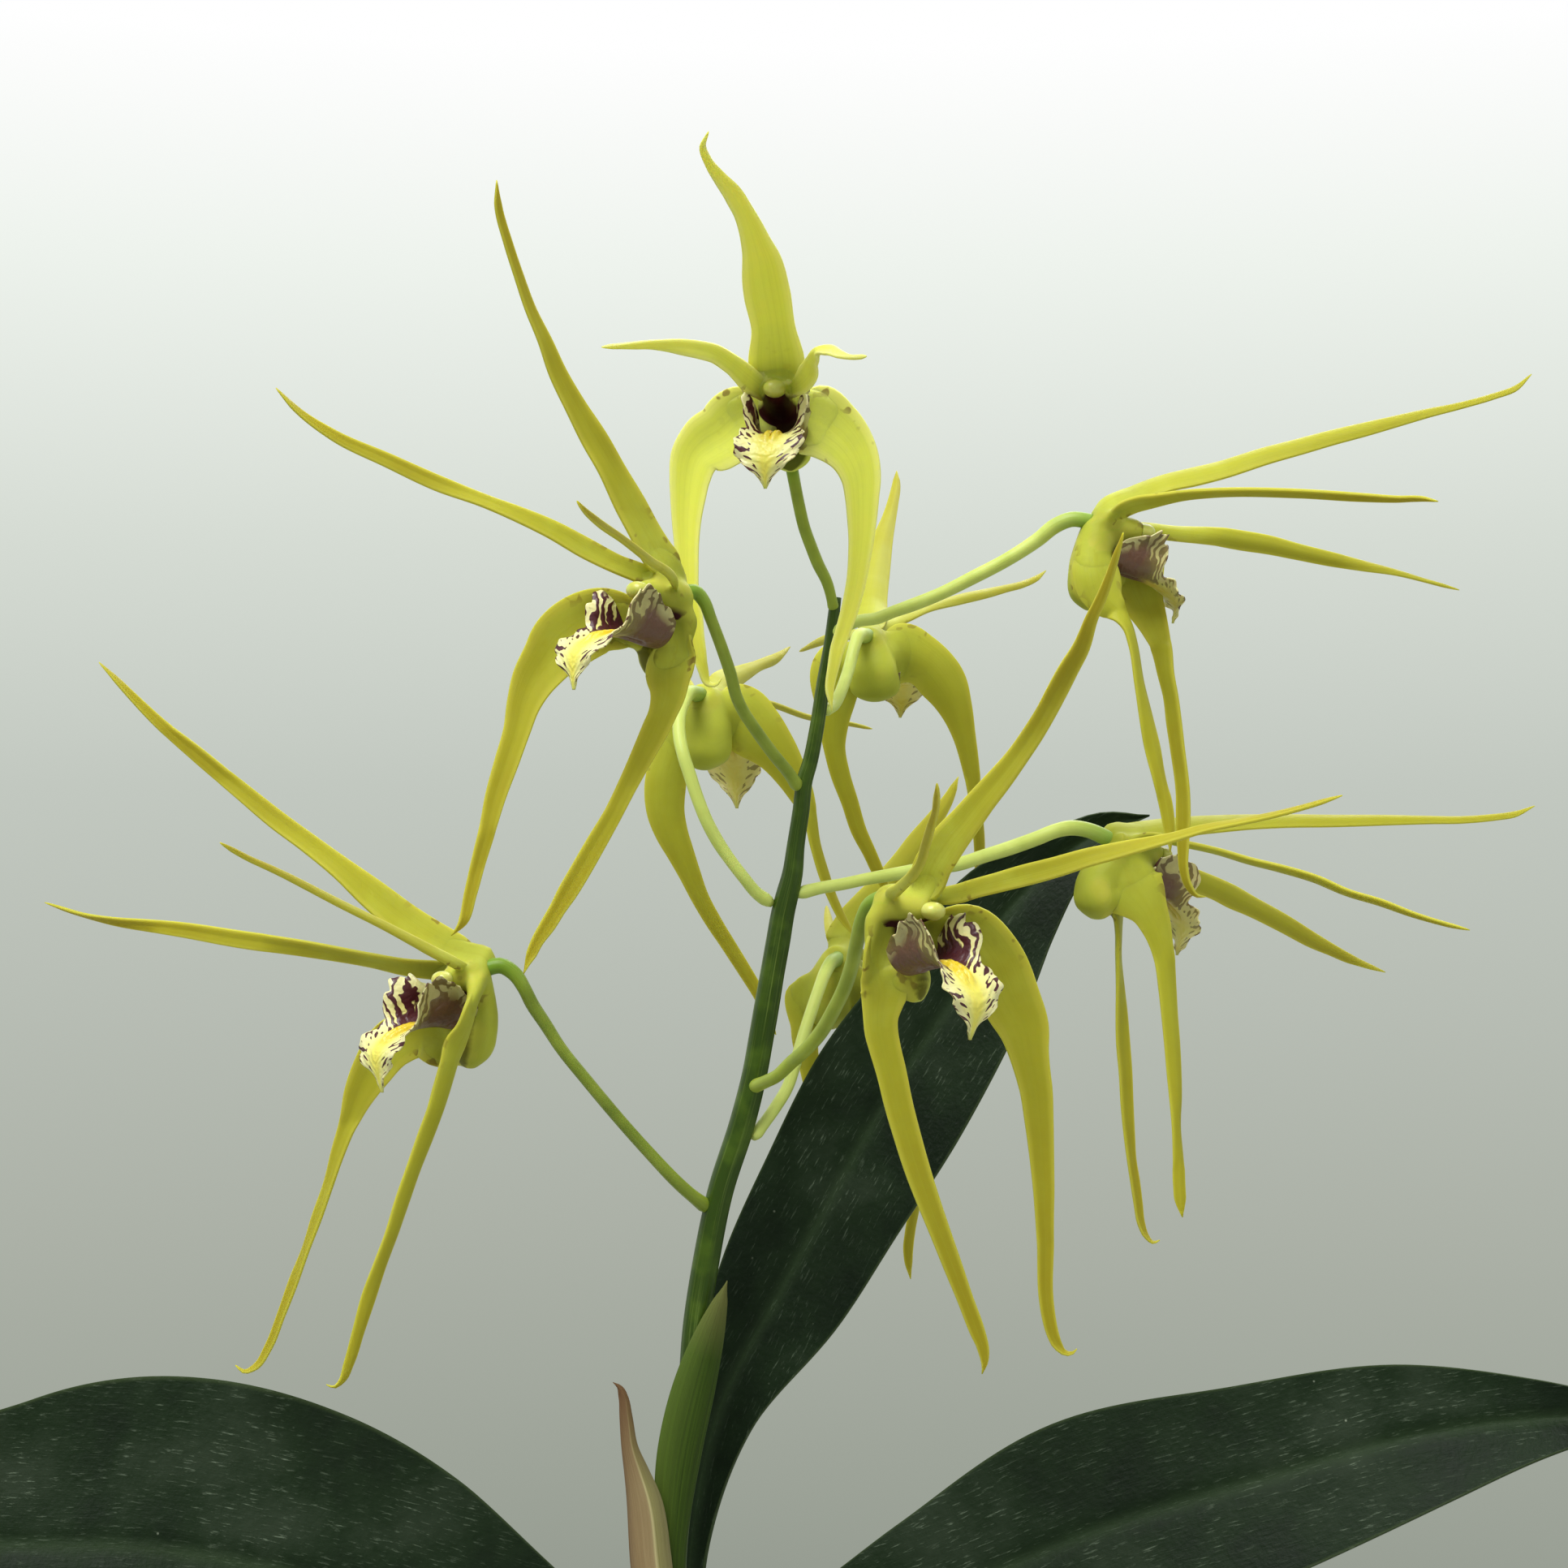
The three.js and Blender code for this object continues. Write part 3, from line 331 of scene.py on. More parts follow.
# %% Bloom c
FLOWERS["c"] = {
    "heart": (588, 1203, -10),
    "cap": (545, 1207, -13.5),
    "chin": ((590, 1258, -10), (580, 1302, -10)),
    "lip": (
        (566, 1268, -10.5), (554, 1266, -11.5), (541, 1264, -12.5), (519, 1266, -14),
        (496, 1272, -15.5), (466, 1294, -17), (471, 1346, -17),
    ),
    "tepals": (
        ("dorsal", (-10, -14), -1, (
            (594, 1186, 30), (575, 1180, 34), (540, 1162, 38), (500, 1136, 38), (460, 1104, 35),
            (420, 1071, 26), (380, 1040, 23), (340, 1010, 23), (300, 977, 21), (240, 927, 19),
            (200, 894, 14), (160, 855, 9), (140, 834, 6), (122, 816, 3),
        )),
        ("petal", (-12, -50), -1, (
            (582, 1199, 12), (559, 1186, 12), (521, 1166, 11), (482, 1145, 9), (420, 1114, 8),
            (340, 1073, 7), (301, 1055, 6), (271, 1038, 3),
        )),
        ("petal", (-8, 4), 1, (
            (570, 1197, 24), (540, 1195, 24), (500, 1191, 22), (460, 1183, 20), (380, 1169, 21),
            (300, 1158, 21), (220, 1145, 18), (180, 1140, 15), (140, 1135, 11), (101, 1127, 6),
            (55, 1112, 3),
        )),
        ("lateral", (-16, -20), 1, (
            (590, 1196, 6), (587, 1216, 9), (581, 1240, 12), (573, 1265, 16), (562, 1287, 24),
            (555, 1308, 20), (549, 1328, 20), (544, 1345, 20), (539, 1362, 19), (525, 1400, 19),
            (510, 1440, 17), (496, 1480, 17), (483, 1520, 15), (468, 1560, 15),
            (454, 1600, 17), (442, 1640, 14), (430, 1680, 12), (421, 1702, 8), (412, 1709, 6),
            (402, 1706, 3),
        )),
        ("lateral", (-8, -2), -1, (
            (560, 1285, 60), (520, 1270, 62), (485, 1285, 60), (458, 1320, 50), (442, 1350, 38),
            (431, 1380, 25), (417, 1420, 19), (405, 1460, 15), (391, 1500, 15), (377, 1540, 12),
            (362, 1580, 14), (347, 1620, 12), (331, 1660, 11), (315, 1684, 8), (301, 1690, 5),
            (290, 1682, 3),
        )),
    ),
}
print("bloom c has", len(FLOWERS["c"]["tepals"]), "sepals and petals")

# %% Bloom d
FLOWERS["d"] = {
    "heart": (1352, 648, -5),
    "cap": (1412, 656, -4),
    "chin": ((1342, 702, -5), (1345, 740, -5)),
    "lip": (
        (1360, 700, -5), (1374, 705, -5), (1390, 711, -5), (1413, 718, -4.7),
        (1434, 728, -4.4), (1449, 745, -4.2), (1445, 768, -4),
    ),
    "tepals": (
        ("dorsal", (-5, -5), 1, (
            (1366, 625, 30), (1400, 607, 27), (1435, 594, 26), (1470, 586, 27), (1500, 579, 26),
            (1562, 560, 24), (1600, 550, 22), (1640, 539, 20), (1680, 529, 18), (1719, 519, 15),
            (1758, 509, 12), (1802, 499, 9), (1841, 488, 8), (1868, 478, 7), (1887, 461, 3),
        )),
        ("petal", (-7.5, -40), -1, (
            (1376, 632, 20), (1400, 621, 20), (1420, 617, 17), (1460, 610, 12), (1500, 607, 10),
            (1600, 608, 10), (1680, 613, 10), (1719, 615, 8), (1754, 615, 6), (1772, 618, 3),
        )),
        ("petal", (-2.5, 22), 1, (
            (1410, 652, 20), (1442, 656, 20), (1500, 661, 23), (1531, 666, 24), (1562, 671, 23),
            (1600, 680, 20), (1640, 689, 18), (1680, 697, 14), (1719, 705, 9), (1758, 716, 5),
            (1798, 727, 3),
        )),
        ("lateral", (-8, -10), 1, (
            (1354, 662, 34), (1350, 682, 50), (1351, 702, 56), (1355, 722, 56), (1364, 740, 44),
            (1380, 756, 24), (1390, 772, 17), (1396, 792, 15),
            (1404, 840, 15), (1412, 880, 18), (1420, 920, 20), (1429, 960, 17), (1438, 1000, 16),
            (1441, 1025, 13), (1442, 1050, 5),
        )),
        ("lateral", (-1.6, -3), -1, (
            (1385, 690, 80), (1405, 735, 55), (1423, 775, 34), (1432, 801, 24), (1437, 830, 18),
            (1443, 858, 16), (1447, 890, 17), (1451, 920, 16), (1458, 980, 16), (1458, 1010, 17),
            (1458, 1045, 13), (1459, 1072, 10), (1465, 1092, 8), (1475, 1104, 6), (1486, 1105, 3),
        )),
    ),
}
print("bloom d has", len(FLOWERS["d"]["tepals"]), "sepals and petals")

# %% Bloom e
FLOWERS["e"] = {
    "heart": (1380, 1045, 10),
    "cap": (1434, 1053, 13),
    "chin": ((1352, 1088, 9), (1352, 1122, 9)),
    "lip": (
        (1392, 1112, 11), (1400, 1109, 11.8), (1410, 1106, 12.4), (1426, 1106, 13),
        (1440, 1116, 13.5), (1457, 1142, 14), (1450, 1177, 14),
    ),
    "tepals": (
        ("dorsal", (10, 16), 1, (
            (1370, 1030, 28), (1400, 1024, 27), (1440, 1019, 26), (1470, 1016, 24),
            (1500, 1014, 22), (1540, 1012, 19), (1580, 1011, 17), (1640, 1011, 15),
            (1721, 1010, 12), (1761, 1010, 10), (1800, 1010, 9), (1840, 1007, 8),
            (1867, 1003, 7), (1891, 993, 3),
        )),
        ("petal", (9, -12), -1, (
            (1400, 1034, 10), (1464, 1041, 8), (1500, 1049, 8), (1540, 1061, 9),
            (1580, 1071, 10), (1620, 1083, 10), (1660, 1100, 9), (1700, 1112, 9),
            (1741, 1127, 7), (1782, 1139, 5), (1811, 1146, 3),
        )),
        ("petal", (13, 44), 1, (
            (1420, 1062, 26), (1464, 1082, 28), (1500, 1096, 27), (1520, 1106, 28),
            (1540, 1116, 25), (1580, 1137, 23), (1620, 1160, 19), (1640, 1170, 15),
            (1660, 1180, 12), (1680, 1188, 8), (1707, 1198, 3),
        )),
        ("lateral", (7, 2), 1, (
            (1384, 1046, 60), (1386, 1062, 72), (1390, 1078, 84), (1396, 1093, 82), (1407, 1108, 66),
            (1417, 1124, 46), (1424, 1140, 38), (1430, 1160, 30), (1435, 1182, 26),
            (1439, 1219, 23),
            (1442, 1255, 21), (1445, 1290, 20), (1447, 1320, 19), (1449, 1350, 17),
            (1450, 1389, 13), (1452, 1425, 14), (1453, 1460, 15), (1455, 1486, 13),
            (1457, 1500, 7),
        )),
        ("lateral", (11, 14), 1, (
            (1364, 1098, 40), (1376, 1128, 18), (1378, 1150, 12), (1378, 1175, 10),
            (1380, 1219, 14), (1381, 1243, 17), (1383, 1284, 19), (1386, 1320, 18),
            (1388, 1360, 17), (1391, 1400, 15), (1394, 1430, 13), (1398, 1455, 13),
            (1402, 1483, 12), (1406, 1508, 10), (1413, 1524, 7), (1421, 1531, 5),
            (1429, 1528, 3),
        )),
    ),
}
print("bloom e has", len(FLOWERS["e"]["tepals"]), "sepals and petals")

# %% Bloom f
FLOWERS["f"] = {
    "heart": (1096, 1112, -33),
    "cap": (1152, 1123, -38.5),
    "chin": ((1108, 1178, -31), (1126, 1220, -32.5)),
    "lip": (
        (1121, 1200, -34.5), (1134, 1197, -36), (1149, 1193, -37.8), (1167, 1191, -39.8),
        (1186, 1202, -41.8), (1203, 1231, -43.5), (1195, 1281, -43),
    ),
    "tepals": (
        ("dorsal", (-34, -72), 1, (
            (1140, 1095, 40), (1152, 1065, 45), (1172, 1034, 43), (1191, 1011, 38),
            (1210, 987, 34), (1231, 962, 31), (1253, 934, 27), (1274, 903, 26),
            (1290, 876, 25), (1303, 851, 25), (1317, 824, 24), (1331, 800, 21),
            (1346, 760, 15), (1356, 739, 13), (1364, 719, 11), (1371, 699, 9),
            (1377, 679, 7), (1382, 664, 4), (1384, 656, 2),
        )),
        ("petal", (-35, -56), 1, (
            (1155, 1106, 20), (1181, 1102, 23), (1200, 1096, 23), (1230, 1088, 24),
            (1262, 1079, 26), (1300, 1069, 25), (1337, 1058, 23), (1375, 1049, 20),
            (1400, 1043, 17), (1442, 1033, 12), (1485, 1021, 10), (1527, 1013, 8),
            (1570, 1004, 7), (1612, 993, 5), (1654, 980, 3),
        )),
        ("petal", (-35, -78), 1, (
            (1097, 1104, 16), (1109, 1093, 15), (1124, 1078, 14), (1134, 1063, 12),
            (1141, 1040, 13), (1147, 1018, 12), (1152, 1000, 10), (1154, 980, 9),
            (1154, 965, 3),
        )),
        ("lateral", (-34, -30), 1, (
            (1086, 1130, 34), (1080, 1150, 35), (1077, 1170, 34), (1078, 1190, 38),
            (1084, 1206, 50), (1089, 1220, 58), (1087, 1236, 51), (1085, 1254, 43),
            (1086, 1272, 41), (1090, 1290, 39), (1098, 1320, 37),
            (1107, 1360, 35), (1118, 1400, 33), (1130, 1440, 31), (1144, 1480, 28),
            (1159, 1520, 25), (1174, 1560, 23), (1189, 1600, 20), (1204, 1640, 19),
            (1211, 1660, 15), (1213, 1680, 12), (1210, 1693, 6),
        )),
        ("lateral", (-35, -32), 1, (
            (1195, 1150, 70), (1222, 1180, 75), (1245, 1231, 73), (1261, 1266, 62),
            (1268, 1300, 48), (1272, 1320, 43), (1276, 1340, 40), (1280, 1380, 35),
            (1284, 1433, 29), (1286, 1467, 26), (1287, 1500, 23), (1288, 1533, 21),
            (1289, 1600, 18), (1292, 1622, 17), (1297, 1643, 15), (1304, 1659, 12),
            (1312, 1667, 8), (1320, 1668, 6), (1327, 1662, 3),
        )),
    ),
}
print("bloom f has", len(FLOWERS["f"]["tepals"]), "sepals and petals")

# %% Bloom g
FLOWERS["g"] = {
    "heart": (866, 862, 14),
    "cap": (884, 868, 21),
    "chin": ((872, 905, 13), (866, 938, 13)),
    "lip": (
        (873, 938, 17), (880, 928, 19), (887, 922, 22), (894, 922, 25),
        (901, 930, 28), (905, 955, 29), (908, 996, 28),
    ),
    "tepals": (
        ("dorsal", (15, 62), 1, (
            (885, 845, 34), (917, 828, 22), (932, 821, 16), (954, 812, 13), (974, 797, 3),
        )),
        ("petal", (15, 58), -1, (
            (900, 862, 12), (943, 866, 8), (997, 884, 7), (1047, 892, 6), (1075, 898, 3),
        )),
        ("petal", (14, 60), 1, (
            (852, 850, 14), (842, 838, 14), (832, 832, 10), (824, 832, 4),
        )),
        ("lateral", (14, 20), 1, (
            (905, 880, 76), (930, 900, 74), (955, 925, 55), (975, 955, 40), (988, 980, 30),
            (998, 1005, 18), (1005, 1040, 14), (1015, 1075, 14), (1026, 1106, 12),
            (1038, 1131, 10), (1053, 1153, 4),
        )),
        ("lateral", (13, 22), 1, (
            (850, 896, 60), (825, 940, 50), (819, 975, 50), (820, 1000, 46), (827, 1025, 40),
            (838, 1050, 33), (849, 1075, 27), (862, 1105, 22), (880, 1137, 20), (898, 1165, 18),
            (915, 1192, 17), (932, 1220, 15), (956, 1275, 5),
        )),
    ),
}
print("bloom g has", len(FLOWERS["g"]["tepals"]), "sepals and petals")

# %% Bloom h
FLOWERS["h"] = {
    "heart": (1070, 792, 17),
    "cap": (1085, 798, 24),
    "chin": ((1077, 832, 16), (1078, 856, 17)),
    "lip": (
        (1082, 860, 20), (1088, 850, 22), (1095, 844, 25), (1102, 842, 28),
        (1108, 846, 31), (1111, 862, 32), (1109, 884, 31),
    ),
    "tepals": (
        ("dorsal", (18, 62), 1, (
            (1072, 760, 40), (1075, 730, 38), (1080, 700, 34), (1089, 660, 24), (1095, 640, 18),
            (1100, 620, 14), (1104, 600, 11), (1105, 580, 4),
        )),
        ("petal", (18, 60), 1, (
            (1085, 774, 16), (1100, 768, 14), (1120, 760, 12), (1140, 751, 11), (1180, 739, 14),
            (1220, 730, 12), (1240, 725, 10), (1260, 720, 9), (1278, 712, 7), (1289, 703, 3),
        )),
        ("petal", (18, 62), -1, (
            (1052, 782, 16), (1030, 784, 14), (1012, 790, 12), (985, 803, 4),
        )),
        ("lateral", (18, 30), 1, (
            (1117, 806, 76), (1135, 813, 64), (1164, 844, 57), (1178, 873, 41), (1188, 906, 28),
            (1195, 939, 22), (1200, 970, 18), (1204, 1005, 16), (1207, 1040, 14), (1207, 1065, 12),
            (1205, 1108, 4),
        )),
        ("lateral", (17, 26), 1, (
            (1040, 820, 66), (1028, 870, 48), (1027, 900, 34), (1028, 920, 27), (1035, 953, 24),
            (1047, 988, 21), (1058, 1023, 19), (1072, 1052, 16), (1080, 1070, 15), (1100, 1112, 5),
        )),
    ),
}
print("bloom h has", len(FLOWERS["h"]["tepals"]), "sepals and petals")

# %% Bloom i
FLOWERS["i"] = {
    "heart": (1030, 1184, 26),
    "cap": (1058, 1192, 32),
    "chin": ((1018, 1222, 26), (1022, 1256, 27)),
    "lip": (
        (1034, 1266, 30), (1043, 1258, 32), (1053, 1254, 34.5), (1063, 1254, 37),
        (1072, 1259, 39), (1076, 1278, 40), (1073, 1300, 39),
    ),
    "tepals": (
        ("dorsal", (26, 56), 1, (
            (1038, 1165, 44), (1050, 1140, 44), (1070, 1115, 40), (1095, 1088, 36),
            (1115, 1062, 32), (1132, 1038, 30), (1150, 1012, 22), (1168, 985, 14),
            (1181, 957, 4),
        )),
        ("petal", (26, 66), -1, (
            (1026, 1160, 14), (1022, 1144, 13), (1020, 1130, 10), (1018, 1116, 4),
        )),
        ("petal", (27, 58), 1, (
            (1050, 1178, 18), (1080, 1182, 16), (1120, 1180, 14), (1180, 1172, 4),
        )),
        ("lateral", (26, 30), 1, (
            (1004, 1222, 46), (992, 1270, 34), (1000, 1330, 22), (1012, 1430, 16),
            (1014, 1540, 4),
        )),
        ("lateral", (27, 30), 1, (
            (1060, 1220, 60), (1092, 1290, 44), (1118, 1380, 24), (1128, 1485, 13),
            (1122, 1515, 13), (1119, 1540, 12), (1120, 1560, 9), (1122, 1576, 4),
        )),
    ),
}
print("bloom i has", len(FLOWERS["i"]["tepals"]), "sepals and petals")

# %% Places of the stem and its stalks
RACHIS = (
    (836, 2062, 1, 32), (830, 1932, 0, 32), (850, 1750, 0, 33), (859, 1626, 0, 33),
    (870, 1556, 0, 33), (888, 1468, 0, 32), (916, 1380, 0, 32), (931, 1319, 0, 31),
    (938, 1280, 0, 31), (945, 1240, 0, 31), (952, 1199, 0, 30), (959, 1160, 0, 30),
    (966, 1120, 0, 29), (971, 1100, 0, 28), (976, 1080, 0, 26), (981, 1040, 0, 22),
    (987, 1000, 0, 21), (992, 960, 0, 20), (998, 940, 0, 19), (1006, 900, 0, 18),
    (1015, 840, 0, 17), (1022, 800, 0, 16), (1030, 736, 0, 14),
)
PEDICELS = (
    (
        (1028, 752, 0, 12), (1018, 715, -2, 14), (1008, 695, -3, 15), (1000, 675, -4, 15),
        (991, 650, -5, 15), (985, 625, -6, 15), (980, 600, -7, 15), (974, 568, -7.5, 16),
    ),
    (
        (985, 972, 0, 14), (970, 950, -2.5, 15), (955, 932, -5, 15), (940, 912, -7, 15),
        (928, 895, -9, 15), (918, 880, -10, 15), (908, 860, -11.5, 15), (900, 830, -13, 15),
        (890, 800, -15, 15), (875, 760, -17, 15), (868, 742, -17.5, 16), (858, 730, -18, 18),
        (842, 730, -19, 20),
    ),
    (
        (874, 1490, 0, 16), (840, 1462, -3, 16), (795, 1415, -5, 15), (722, 1330, -8, 15),
        (690, 1290, -8.5, 15), (672, 1262, -9, 16), (655, 1236, -9.5, 17), (646, 1218, -10, 17),
        (634, 1200, -10, 19), (618, 1190, -10, 20), (596, 1194, -10, 20),
    ),
    (
        (1024, 782, 0, 14), (1058, 765, -1, 15), (1080, 762, -1.3, 15), (1100, 754, -1.7, 15),
        (1120, 747, -2, 16), (1160, 731, -2.5, 16), (1200, 711, -3, 17), (1240, 690, -3.5, 17),
        (1280, 664, -4, 18), (1300, 648, -4.5, 19), (1320, 640, -5, 19), (1346, 643, -5, 20),
    ),
    (
        (980, 1102, 0, 14), (1011, 1094, 1, 15), (1040, 1089, 1.7, 15), (1068, 1083, 2.3, 15),
        (1097, 1078, 3, 16), (1140, 1070, 4, 16), (1180, 1065, 5, 17), (1212, 1055, 6, 17),
        (1244, 1045, 7, 18), (1280, 1032, 8, 18), (1300, 1024, 8.3, 18), (1320, 1020, 8.7, 19),
        (1341, 1023, 9, 19), (1358, 1030, 9.5, 20), (1372, 1038, 10, 20),
    ),
    (
        (926, 1340, 0, 15), (945, 1332, -4, 16), (957, 1326, -6, 16), (975, 1309, -8, 17),
        (990, 1296, -11, 17), (1009, 1275, -14, 18), (1027, 1245, -18, 18), (1041, 1216, -21, 18),
        (1050, 1188, -24, 18), (1056, 1160, -27, 18), (1062, 1135, -29, 19), (1072, 1114, -31, 19),
        (1090, 1105, -33, 21),
    ),
    (
        (952, 1114, 0, 14), (932, 1100, -0.5, 15), (917, 1082, -1, 15), (900, 1060, -0.7, 15),
        (885, 1038, -0.3, 16), (870, 1010, 0, 16), (860, 985, 0.6, 16), (850, 955, 1.3, 16),
        (842, 930, 2, 16), (837, 905, 3.5, 16), (837, 885, 5, 16), (841, 868, 7, 17),
        (848, 855, 9, 18), (862, 856, 13, 20),
    ),
    (
        (1016, 876, 0, 13), (1028, 868, 2.5, 15), (1034, 857, 4, 15), (1040, 842, 6, 15),
        (1047, 820, 9, 15), (1052, 800, 10.5, 15), (1057, 785, 12, 16), (1068, 784, 16, 20),
    ),
    (
        (928, 1402, 0, 14), (955, 1365, 4, 15), (970, 1340, 7, 15), (980, 1310, 10, 15),
        (990, 1276, 13, 15), (999, 1248, 15.5, 15), (1009, 1219, 18, 15), (1017, 1198, 20.5, 16),
        (1024, 1186, 22.5, 17), (1032, 1182, 25, 20),
    ),
)
print("stalks measured:", len(PEDICELS))

# %% Places of the leaves, the sheath and the bract
LEAVES = {
    "leaf_back": ((4, 20), 0.25, (
        (846, 2050, 34), (852, 1900, 44), (885, 1740, 92), (968, 1580, 165), (1023, 1478, 182),
        (1098, 1348, 196), (1180, 1224, 168), (1243, 1122, 130), (1328, 1042, 60), (1380, 1013, 30),
        (1417, 1004, 4),
    )),
    "leaf_left": ((2, -14), -0.55, (
        (822, 2090, 50), (680, 2026, 126), (520, 1981, 268), (350, 1938, 352), (184, 1909, 368),
        (0, 1904, 304), (-140, 1898, 190), (-250, 1900, 10),
    )),
    "leaf_right": ((0, -16), 0.55, (
        (846, 2080, 54), (1000, 2026, 96), (1150, 1970, 172), (1350, 1888, 244), (1550, 1825, 208),
        (1750, 1769, 154), (1900, 1748, 82), (2060, 1745, 6),
    )),
}
SHEATH = ((-3.6, -2.4), (
    (824, 2070, 40), (826, 1890, 42), (838, 1785, 54), (858, 1700, 50), (876, 1640, 34), (896, 1578, 4),
))
BRACT = ((-5.4, -4.6), (
    (812, 2036, 46), (801, 1920, 50), (793, 1850, 42), (784, 1815, 30), (776, 1785, 20),
    (771, 1745, 15), (768, 1722, 11), (763, 1709, 7), (755, 1703, 2),
))
print("leaves measured:", len(LEAVES))

# %% [markdown]
# ## Sepals and petals
# Each bloom has a long back sepal, two narrow petals and two side sepals drawn out into tails. On
# the real flower they are thin and waxy, folded a little along the middle. Each is a sheet laid
# along the line on which it is seen. Its seen width comes from the photograph. Where the real
# sepal would be wider than it looks, the sheet is turned about its own line by the angle that
# explains the difference, so it also looks right from the side. The thickness follows half an
# ellipse across the sheet, which leaves fine margins and a fleshy middle.

# %% Line, half width and face of a seen sheet
FULL_WIDTH = {
    "dorsal": (5.6, 4.2, 2.6, 1.6, 0.9),
    "petal": (2.4, 2.5, 2.1, 1.6, 0.9),
    "lateral": (5.4, 2.8, 2.2, 1.9, 1.0),
}
TEPAL_ROWS = 96
TEPAL_COLUMNS = 17
TAPER = 0.45
ROOT_SHARE = 0.06
TIP_SHARE = 0.05
THINNEST = 0.2


def tip_share(t):
    """Share of the full size near a tip: a root curve over the last part of the length."""
    return np.sqrt(np.clip((1 - t) / TIP_SHARE, 0.02, 1))


def seen_sheet(path, depth, full, turn=1, lean=0, rows=TEPAL_ROWS, columns=TEPAL_COLUMNS, thick=0.0):
    """Middle line, half-width vectors and normals of a sheet seen along a path. The half width
    lies across the line in the picture's plane, with a part in depth that is the root of the real
    width squared less the seen width squared, plus a lean as a share of the seen width. What the
    thickness of a turned sheet adds to the seen width is taken off. The depth runs evenly from
    its second value to its third; its first is the root's, left within a few millimetres."""
    spots = smooth(path, rows, keys=2)
    t = np.linspace(0, 1, rows)
    root, start, finish = depth
    depths = start + (finish - start) * t + (root - start) * np.exp(-((t / ROOT_SHARE) ** 2))
    line = seen(spots[:, 0], spots[:, 1], depths)
    way = unit(np.gradient(line, axis=0))
    flat = unit(np.stack([-way[:, 2], 0 * t, way[:, 0]], -1))
    look = np.maximum(spots[:, 2] * pixel(depths), THINNEST)
    real = np.maximum(read(full, t), look)
    look = look - np.minimum(thick * (1 - TAPER * t), 0.5 * look) * (1 - (look / real) ** 2)
    look, real = look * tip_share(t), real * tip_share(t)
    deep = lean * look + np.sqrt(np.maximum(real**2 - look**2, 0)) * turn
    half = (flat * look[:, None] + AWAY * deep[:, None]) / 2
    normal = unit(np.cross(way, half))
    a = np.sin(np.linspace(-np.pi / 2, np.pi / 2, columns))
    return line, half, normal, a, t


print("full widths in millimetres:", FULL_WIDTH)

# %% The way a flower faces
def flower_frame(flower):
    """Heart of the flower, the way it looks, and its right and up."""
    heart = seen(*flower["heart"])
    face = unit(seen(*flower["cap"]) - heart)
    right = unit(np.cross(face, UP))
    return heart, face, right, unit(np.cross(right, face))


print("bloom a faces along", flower_frame(FLOWERS["a"])[1].round(2))

# %% Sheets of the sepals and petals
TEPAL_THICKNESS = 0.9
FOLD = 0.3
SOFT_REACH = 0.22
BASE_CHANNEL = {"dorsal": 0.1, "petal": 0.1, "lateral": 0.3}
BASE_REACH = 0.12
WAVE = 0.05
START_SHARE = 0.15
START_WIDTH = 0.45


def tepal_sheet(flower, tepal, phase):
    """Middle surface of one sepal or petal: its line, plus the half width times the place across,
    plus a fold that rises with the root of the place across squared and a softness that fades
    towards the tail, plus a channel that deepens with the place across squared near the root,
    plus a soft wave at each margin."""
    kind, depth, turn, path = tepal
    heart, face = flower_frame(flower)[:2]
    origin = np.array(flower["heart"], float)
    if kind == "lateral":
        foot = np.array(flower["chin"][0], float) - origin
        step = (np.array(path[0][:2]) - origin[:2]) @ foot[:2] / (foot[:2] @ foot[:2])
        origin = origin + foot * np.clip(step, 0, 1)
    x, y, width = path[0]
    start = (*(origin[:2] + (np.array([x, y]) - origin[:2]) * START_SHARE), width * START_WIDTH)
    depths = (origin[2], *depth)
    line, half, normal, a, t = seen_sheet(
        [start, *path], depths, FULL_WIDTH[kind], turn, thick=0.5 * TEPAL_THICKNESS)
    outward = seen(*path[2][:2], heart[1]) - heart
    inner = face - unit(outward - AWAY * outward[1])
    if kind == "lateral":
        inner = face + 0.8 * unit(seen(*flower["chin"][0]) - line[len(line) // 10])
    if normal[len(line) // 10] @ inner < 0:
        normal = -normal
    size = np.linalg.norm(half[:, [0, 2]], axis=1)[:, None, None]
    across = a[None, :, None]
    near = np.exp(-((t / BASE_REACH) ** 2))[:, None, None]
    soft = 0.02 + 0.3 * np.exp(-((t / SOFT_REACH) ** 2))[:, None, None]
    fold = FOLD * (np.sqrt(across**2 + soft) - 0.5)
    bend = (fold + BASE_CHANNEL[kind] * near * across**2) * size
    wave = WAVE * size * np.abs(across) ** 3 * np.sin(9 * t[:, None, None] + phase + 2.4 * across)
    middle = line[:, None] + half[:, None] * across + normal[:, None] * (bend + wave)
    return middle, normal, a, t

# %% From sheet to sepal, with its fleshy root
MARGIN_SHARE = 0.2
ROOT_PART = 0.16
ROOT_FLESH = {"dorsal": 1.6, "petal": 1.1, "lateral": 2.2}
ROOT_NARROWING = 0.25
START_PART = 0.09
START_NARROWING = 0.6


def tepal_rings(sheet):
    """One sepal or petal with fine margins and a fleshy middle. It starts narrower than its root,
    so that its corners lie inside the heart."""
    middle, normal, a, t = sheet
    centre = middle[:, len(a) // 2][:, None]
    width = 1 - START_NARROWING * (1 - ease(t / START_PART))
    middle = centre + (middle - centre) * width[:, None, None]
    thin = MARGIN_SHARE + (1 - MARGIN_SHARE) * np.sqrt(1 - 0.96 * a**2)
    fleshy = TEPAL_THICKNESS * (1 - TAPER * t) * (0.1 + 0.9 * tip_share(t))
    u = np.repeat((0.5 + 0.5 * a)[None], len(t), axis=0)
    v = np.repeat(t[:, None], len(a), axis=1)
    return sheet_rings(middle, fleshy[:, None] * thin[None], u, v, normal)


